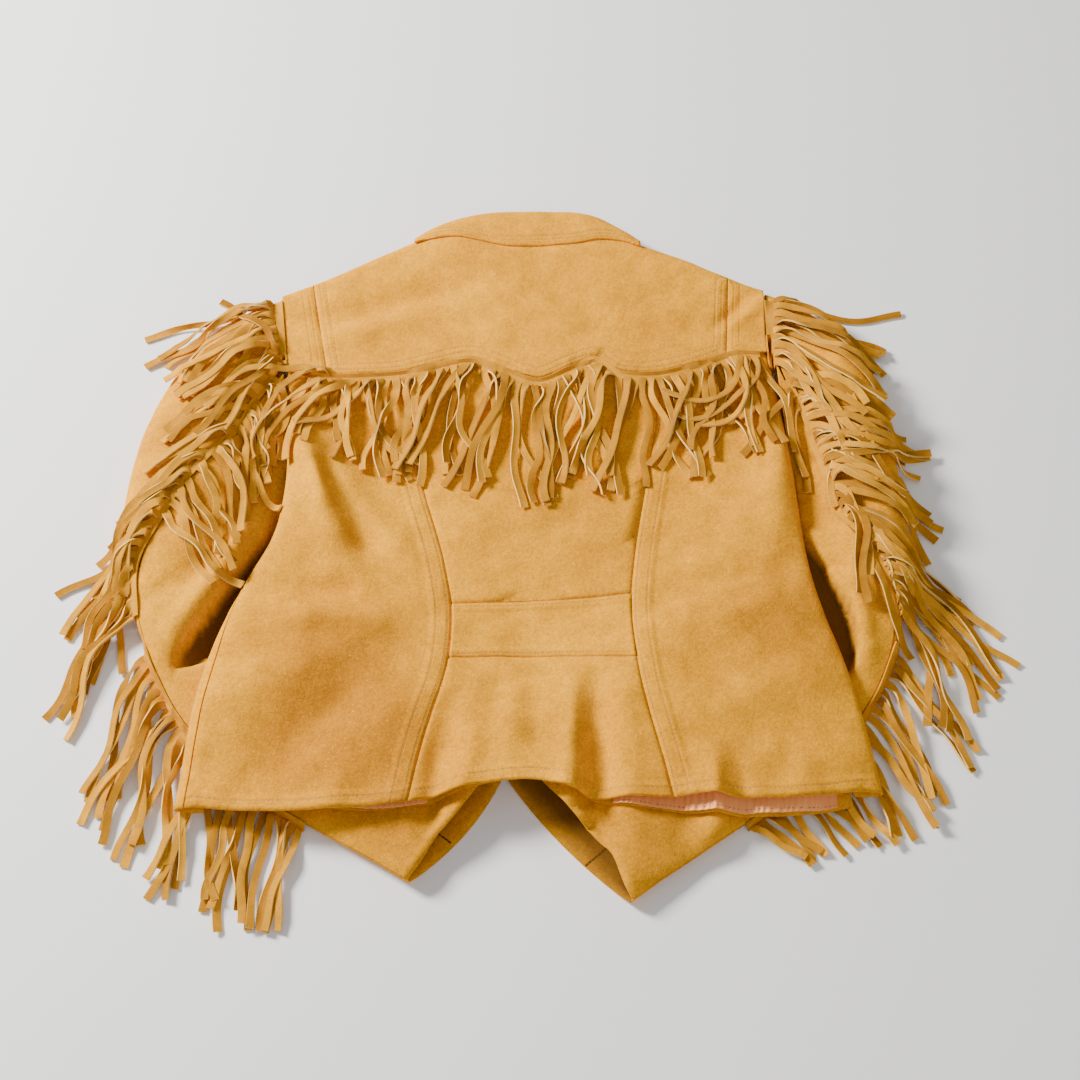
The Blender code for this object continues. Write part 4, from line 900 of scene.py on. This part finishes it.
# How far a strand turns on edge, in radians, as it leaves the band, now and then further on, and all
# along, and where it does, as shares of its length.
LEAVES, LEAVES_AT, LEAVES_LONG = (0.2, 1.2), 0.14, 0.10
TURNS, TURNS_AT, TURNS_LONG = (0.5, 1.4), (0.4, 0.9), 0.16
TILTS = (0, 0.5)
LIES_FLAT = 0.09
HOVER = (0.0005, 0.0040)
HOVER_LONG = 0.8
NARROWED = (0.84, 1.04)
WAISTED = 0.14
BOWED = (-0.0007, 0.0007)
LENGTH_VARIES = 0.05
TONE, TONE_VARIES = 0.58, 0.30
STRAY_SHORT = 0.82
SETTLING = 22  # rounds in which a strand sinks to its rest
TIP_FREE = 0.4
STEEPEST = 6  # the most that a strand's slope, squared, draws in its steps
PACKED = 0.74  # strands that lie on others press them to this share of their height
PILE_SOFT = 0.036  # above this height a pile of strands settles
PILE_REACH = 0.017

# A map of the jacket's height, cell by cell, that each piece raises as it is laid.
CELL = 0.001
MARGIN = 0.05
COVER_STEP = 0.9  # in cells, and the least and the most steps across a face
COVER_STEPS = (3, 40)
LOW = np.array(cad_low[:2]) - MARGIN
SIZE = np.ceil((np.array(cad_high[:2]) + MARGIN - LOW) / CELL).astype(int)
heights = np.zeros(SIZE[::-1])
bare = heights.copy()  # the same without the strands


def cells(x, y):
    col = np.clip(((x - LOW[0]) / CELL).astype(int), 0, SIZE[0] - 1)
    row = np.clip(((y - LOW[1]) / CELL).astype(int), 0, SIZE[1] - 1)
    return row, col


def cover(mesh):
    """Raises the map to the faces of a mesh."""
    mesh.calc_loop_triangles()
    corners = np.empty(len(mesh.loop_triangles) * 3, int)
    mesh.loop_triangles.foreach_get("vertices", corners)
    a, b, c = points_of(mesh)[corners.reshape(-1, 3)].transpose(1, 0, 2)
    longest = max(np.abs(b - a).max(), np.abs(c - a).max(), np.abs(c - b).max())
    steps = np.linspace(0, 1, int(np.clip(longest / (COVER_STEP * CELL), *COVER_STEPS)))
    for s in steps:
        for t in steps[steps <= 1 - s + 1e-9]:
            x, y, z = (a + (b - a) * s + (c - a) * t).T
            np.maximum.at(heights, cells(x, y), z)


def strand_finish(name, base=None):
    """The hide of the strands, each a little lighter or darker than the next, or of their cut edges."""
    hide = Finish(name)
    base = base or hide.mix(hide.attribute("shade"), colour(STRAND_DARK), colour(STRAND_LIGHT))
    base = hide.toned(base, hide.noise(*STRAND_PATCHES), 0.3, 0.7, 0.84, 1.10)
    fibres = hide.noise(*FIBRES)
    base = hide.toned(base, fibres, 0.25, 0.75, 0.82, 1.12)
    return suede(hide, base, Normal=hide.bump(fibres, 0.0004, 0.5))


strand_face = strand_finish("buckskin_strand")
strand_edge = strand_finish("buckskin_cut_edge", colour(CUT_EDGE))


def rest_on(least, root):
    """Heights along a strip that bends over what is under it and bridges what it can't reach into."""
    z = least.copy()
    z[0] = root
    for _ in range(SETTLING):
        z[1:-1] = np.maximum(least[1:-1], (z[:-2] + 2 * z[1:-1] + z[2:]) / 4)
        z[-1] = max(least[-1], z[-2] + TIP_FREE * (z[-2] - z[-3]))
    return z


def lay_strand(root, heading, length, roll, hover):
    """Middle line and cross direction of one strand. heading is the way it runs at each step, roll its
    turn on its own axis, and hover how far it arches clear of what is under it."""
    share = np.linspace(0, 1, STRAND_STEPS)
    half = (STRAND_WIDE * np.abs(np.sin(roll)) + STRAND_THICK * np.abs(np.cos(roll))) / 2
    reach = STRAND_WIDE / 2 * np.abs(np.cos(roll))
    off_x, off_y = -np.sin(heading) * reach, np.cos(heading) * reach
    step = np.full(STRAND_STEPS - 1, length / (STRAND_STEPS - 1))
    for _ in range(3):
        x = root[0] + np.concatenate([[0], np.cumsum(np.cos(heading[1:]) * step)])
        y = root[1] + np.concatenate([[0], np.cumsum(np.sin(heading[1:]) * step)])
        under = np.zeros(STRAND_STEPS)
        for aside in np.linspace(-1, 1, 5):
            at = cells(x + off_x * aside, y + off_y * aside)
            under = np.maximum(under, bare[at] + PACKED * (heights[at] - bare[at]))
        z = rest_on(under + half + hover + STRAND_ARCH, root[2])
        slope = np.diff(z) / step
        step = length / (STRAND_STEPS - 1) / np.sqrt(1 + np.minimum(slope**2, STEEPEST))
    for aside in np.linspace(-1, 1, 7):
        for part in (0.0, 0.5):
            px, py, pz = (np.interp(share + part / STRAND_STEPS, share, v) for v in (x, y, z - hover))
            at = cells(px + off_x * aside, py + off_y * aside)
            np.maximum.at(heights, at, pz + np.minimum(half, STRAND_THICK * STRAND_FILLS))
    across = [-np.sin(heading) * np.cos(roll), np.cos(heading) * np.cos(roll), np.sin(roll)]
    return np.stack([x, y, z], axis=1), np.stack(across, axis=1)


def band_height(x, y):
    """The map's height at plan places, and just round them."""
    found = np.zeros(np.shape(x))
    for dx in (-CELL, 0, CELL):
        for dy in (-CELL, 0, CELL):
            found = np.maximum(found, heights[cells(x + dx, y + dy)])
    return found


def strip(shape, points, tone, finish=0):
    """A ribbon of hide through rows of points, as an open grid."""
    shade = shape.verts.layers.float["shade"]
    rows, cols = points.shape[:2]
    made = bmesh.ops.create_grid(shape, x_segments=cols - 1, y_segments=rows - 1, size=0.5)["verts"]
    for vertex in made:
        col, row = round((vertex.co.x + 0.5) * (cols - 1)), round((vertex.co.y + 0.5) * (rows - 1))
        vertex.co = points[row, col]
        vertex[shade] = tone
        for face in vertex.link_faces:
            face.material_index = finish


def lay_band(shape, top, low):
    """The uncut part of a band, from its sewn edge to the slits. Gives the slits' heights."""
    rows = []
    for share in BAND_ROWS:
        place = top + (low - top) * share
        lift = BAND_THICK * (BAND_LIES + BAND_RISES * share)
        rows.append(np.column_stack([place, band_height(*place.T) + lift]))
    rows = np.array(rows)
    for row in rows:
        for _ in range(3):
            row[1:-1, 2] = np.maximum(row[1:-1, 2], (row[:-2, 2] + row[2:, 2]) / 2)
    strip(shape, rows, BAND_TONE, BAND_SLOT)
    for row in rows:
        np.maximum.at(heights, cells(row[:, 0], row[:, 1]), row[:, 2] + BAND_THICK / 2)
    return rows[-1, :, 2]


def how_strands_fall(chance, count, ways, wild):
    """Each strand's share along its band, the way it sets out, its bend and its length."""
    bunch = np.cumsum(chance.random(count) < BUNCH_BREAK)
    drift = np.clip(chance.normal(0, 1, (count, 2)), -BUNCH_MOST, BUNCH_MOST)[bunch]
    fallen = []
    for i in [*range(0, count, 2), *range(1, count, 2)]:
        share = (i + 0.5) / count
        here = {name: float(np.interp(share, ways["share"], values)) for name, values in ways.items()}
        strays = chance.random() < here["strays"]
        way = here["stray_way" if strays else "way"]
        way += wild * (BUNCH_WAY * drift[i, 0] + chance.normal(0, STRAND_WAY))
        bend = here["bend"] * (not strays)
        bend += wild * (BUNCH_BEND * drift[i, 1] + chance.normal(0, STRAND_BEND))
        length = here["length"] * (STRAY_SHORT if strays else 1) * (1 + LENGTH_VARIES * chance.normal())
        fallen.append((share, way, bend, length))
    return fallen


def make_strand(shape, chance, root, turn, way, bend, length, wild):
    """One strand, with its waves and its turns on edge. turn is from its way to the band's own."""
    t = np.linspace(0, 1, STRAND_STEPS)
    swing = chance.uniform(*SWING) * wild
    waves, phase = chance.uniform(*WAVES), chance.uniform(*ANY_PHASE)
    heading = way + bend * t + swing * np.sin(2 * math.pi * waves * t + phase)
    heading = np.radians(heading + turn * np.exp(-t * length / ROOT_STRAIGHT))
    leaves = chance.choice([-1, 1]) * chance.uniform(*LEAVES)
    turned = chance.choice([0, 0, 1]) * chance.choice([-1, 1]) * chance.uniform(*TURNS)
    roll = leaves * np.exp(-(((t - LEAVES_AT) / LEAVES_LONG) ** 2))
    roll += chance.choice([-1, 1]) * chance.uniform(*TILTS)
    roll += turned * np.exp(-(((t - chance.uniform(*TURNS_AT)) / TURNS_LONG) ** 2))
    roll *= ease(t / LIES_FLAT)
    hover = chance.uniform(*HOVER) * np.sin(math.pi * np.clip(t / HOVER_LONG, 0, 1)) ** 2
    line, across = lay_strand(root, heading, length, roll, hover)
    width = STRAND_WIDE * chance.uniform(*NARROWED) * (1 - WAISTED * np.sin(math.pi * t)[:, None])
    up = np.cross(np.gradient(line, axis=0), across)
    up /= np.linalg.norm(up, axis=1, keepdims=True)
    bow = up * chance.uniform(*BOWED)
    ribbon = np.stack([line - across * width / 2, line + bow, line + across * width / 2], axis=1)
    strip(shape, ribbon, float(np.clip(TONE + TONE_VARIES * chance.normal(), 0.0, 1)))


def places_on(line, run, share):
    """Plan places on a line, at shares of the run along its band."""
    return np.stack([np.interp(share * run[-1], run, line[:, k]) for k in (0, 1)], axis=-1) + PLAN


def fringe(node, band, deep, count, ways, seed, loose=(), wild=1.0):
    """A band of hide along a plan line, and the strands cut into it. deep is the uncut depth of the
    band at either end, to the left of the line, and ways says how its strands fall. loose lists single
    strands that fell otherwise, each as its share, way, bend and length."""
    chance = np.random.default_rng(seed)
    shape = bmesh.new()
    shape.verts.layers.float.new("shade")
    run = run_along(band)
    edge = beside(band, np.interp(run / run[-1], [0, 1], deep)[:, None])
    stops = np.linspace(0, 1, 3 * count + 1)
    top, low = (places_on(line, run, stops) for line in (band, edge))
    slits = lay_band(shape, top, low)
    outward = np.unwrap(np.arctan2(*(low - top).T[::-1]))
    for share, way, bend, length in [*how_strands_fall(chance, count, ways, wild), *loose]:
        root, inward = (places_on(line, run, share) for line in (edge, band))
        out = math.degrees(np.interp(share, stops, outward))
        turn = (out - way + 180) % 360 - 180
        if abs(turn) > 90:  # it is folded back over the band
            root, inward, turn = inward, root, (out + 360 - way) % 360 - 180
        root = root + (inward - root) * ROOT_TUCKED
        height = float(np.interp(share, stops, slits))
        make_strand(shape, chance, (*root, height), turn, way, bend, length, wild)
    flat = show(node + "_flat", shape)
    for finish in (strand_face, strand_edge, strand_face, strand_face):
        flat.data.materials.append(finish)  # the strands and their cut edges, the band and its own
    thick = flat.modifiers.new("hide", "SOLIDIFY")
    thick.thickness = STRAND_THICK
    thick.offset = 0
    thick.use_even_offset = False
    thick.material_offset_rim = 1
    mesh = bpy.data.meshes.new_from_object(flat.evaluated_get(bpy.context.evaluated_depsgraph_get()))
    bpy.data.objects.remove(flat)
    points = points_of(mesh)
    above = np.maximum(points[:, 2] - PILE_SOFT, 0)
    points[:, 2] += PILE_REACH * (1 - np.exp(-above / PILE_REACH)) - above
    mesh.vertices.foreach_set("co", points.ravel())
    mesh.shade_smooth()
    mesh.set_sharp_from_angle(angle=CUT_SOFT)
    settle(add(node + "_strands", mesh), node=node)


def falls(*rows):
    """How strands fall, share by share along a band: the way they set out and their bend, in degrees,
    their length, the share of them that strays, and the way that those go."""
    return columns("share way bend length strays stray_way", *((*row, 0, 0)[:6] for row in rows))


def cover_cloth(kind=""):
    """Maps the pieces of cloth that are laid, or those of one kind."""
    for node, piece in laid.items():
        if kind in node and "fringe" not in node:
            cover(piece.data)
    bare[:] = heights


cover_cloth("sleeve")
fringe(
    "forearm_fringe_left",
    smooth_line(
        [-0.3116, -0.2878, -0.2570, -0.2177, -0.1775], [-0.0938, -0.1411, -0.1808, -0.2152, -0.2417]
    ),
    (-0.004, -0.004), 32,
    falls((0.00, 250, 10, 0.122), (0.35, 254, 6, 0.118), (0.70, 262, 2, 0.104), (1.00, 270, 2, 0.092)),
    seed=3, wild=0.7,
)
fringe(
    "forearm_fringe_right",
    smooth_line([0.2802, 0.2625, 0.2352, 0.1983, 0.1560], [-0.0910, -0.1321, -0.1709, -0.2082, -0.2414]),
    (0.004, 0.004), 24,
    falls(
        (0.00, -60, -8, 0.110), (0.35, -56, -6, 0.096), (0.70, -46, 0, 0.070), (0.80, -40, 0, 0.056),
        (1.00, -44, 4, 0.050),
    ),
    seed=5, wild=0.7,
)
cover_cloth()
sleeve_left_line = smooth_line(
    [-0.2237, -0.2377, -0.2484, -0.2680, -0.2891, -0.3078, -0.3221, -0.3200],
    [0.1590, 0.1346, 0.1037, 0.0750, 0.0455, 0.0095, -0.0272, -0.0688],
)
sleeve_right_line = smooth_line(
    [0.2084, 0.2214, 0.2284, 0.2363, 0.2428, 0.2573, 0.2735, 0.2830],
    [0.1576, 0.1182, 0.0877, 0.0580, 0.0273, 0.0003, -0.0329, -0.0702],
)
fringe(
    "sleeve_fringe_left", beside(sleeve_left_line, 0.002), (-0.005, -0.005), 54,
    falls(
        (0.00, 224, 14, 0.096, 0.5, 268), (0.15, 226, 14, 0.098, 0.6, 282),
        (0.35, 224, 12, 0.100, 0.6, 286), (0.50, 220, 12, 0.104, 0.5, 290),
        (0.65, 219, 14, 0.112, 0.15, 296), (0.80, 226, 16, 0.104, 0, 270),
        (0.90, 234, 18, 0.108, 0, 260), (1.00, 246, 14, 0.116, 0, 260),
    ),
    seed=21,
)
fringe(
    "sleeve_fringe_right", beside(sleeve_right_line, -0.002), (0.005, 0.005), 54,
    falls(
        (0.00, -30, -14, 0.100, 0.5, -86), (0.20, -26, -16, 0.104, 0.4, -72),
        (0.40, -26, -16, 0.114, 0.3, -60), (0.60, -24, -16, 0.130, 0.2, -50),
        (0.70, -25, -18, 0.138, 0.2, -50), (0.80, -29, -18, 0.140, 0.3, -50),
        (0.90, -40, -18, 0.134, 0.2, -60), (1.00, -58, -14, 0.120, 0, -60),
    ),
    seed=23,
)
ARMHOLE_Y = [0.2400, 0.2180, 0.1900, 0.1730]
fringe(
    "armhole_fringe_left", smooth_line([-0.2218, -0.2195, -0.2160, -0.2142], ARMHOLE_Y),
    (-0.013, -0.006), 16,
    falls(
        (0.00, 200, 20, 0.116), (0.35, 220, 16, 0.112), (0.70, 232, 6, 0.112),
        (1.00, 236, 4, 0.112, 0.3, 262),
    ),
    seed=8,
    loose=((0.05, 206, 6, 0.128), (0.10, 186, 36, 0.118)),
)
fringe(
    "armhole_fringe_right", smooth_line([0.1935, 0.1935, 0.1935, 0.1950], ARMHOLE_Y),
    (0.012, 0.005), 16,
    falls(
        (0.00, -16, -14, 0.106), (0.35, -32, -12, 0.108), (0.70, -42, -12, 0.108, 0.2, -70),
        (1.00, -50, -10, 0.106, 0.3, -76),
    ),
    seed=9,
    loose=((0.02, -8, 8, 0.120),),
)
fringe(
    "yoke_fringe", beside(yoke_line, 0.0004), (-0.007, -0.007), 64,
    falls(
        (0.00, 236, 8, 0.070), (0.08, 256, 4, 0.082), (0.18, 264, 2, 0.106), (0.30, 262, 4, 0.114),
        (0.45, 264, 2, 0.118), (0.60, 266, 2, 0.118), (0.72, 270, 0, 0.110), (0.85, 273, -4, 0.104),
        (0.94, 279, -8, 0.102), (1.00, 288, -10, 0.098),
    ),
    seed=11,
    loose=(
        (0.030, 178, 112, 0.112), (0.050, 178, 118, 0.122), (0.070, 180, 104, 0.118),
        (0.095, 196, 80, 0.112), (0.130, 242, -40, 0.090), (0.955, 276, -130, 0.105),
        (0.985, 300, -150, 0.115), (0.94, 310, -120, 0.100), (0.012, 166, 84, 0.116),
    ),
)
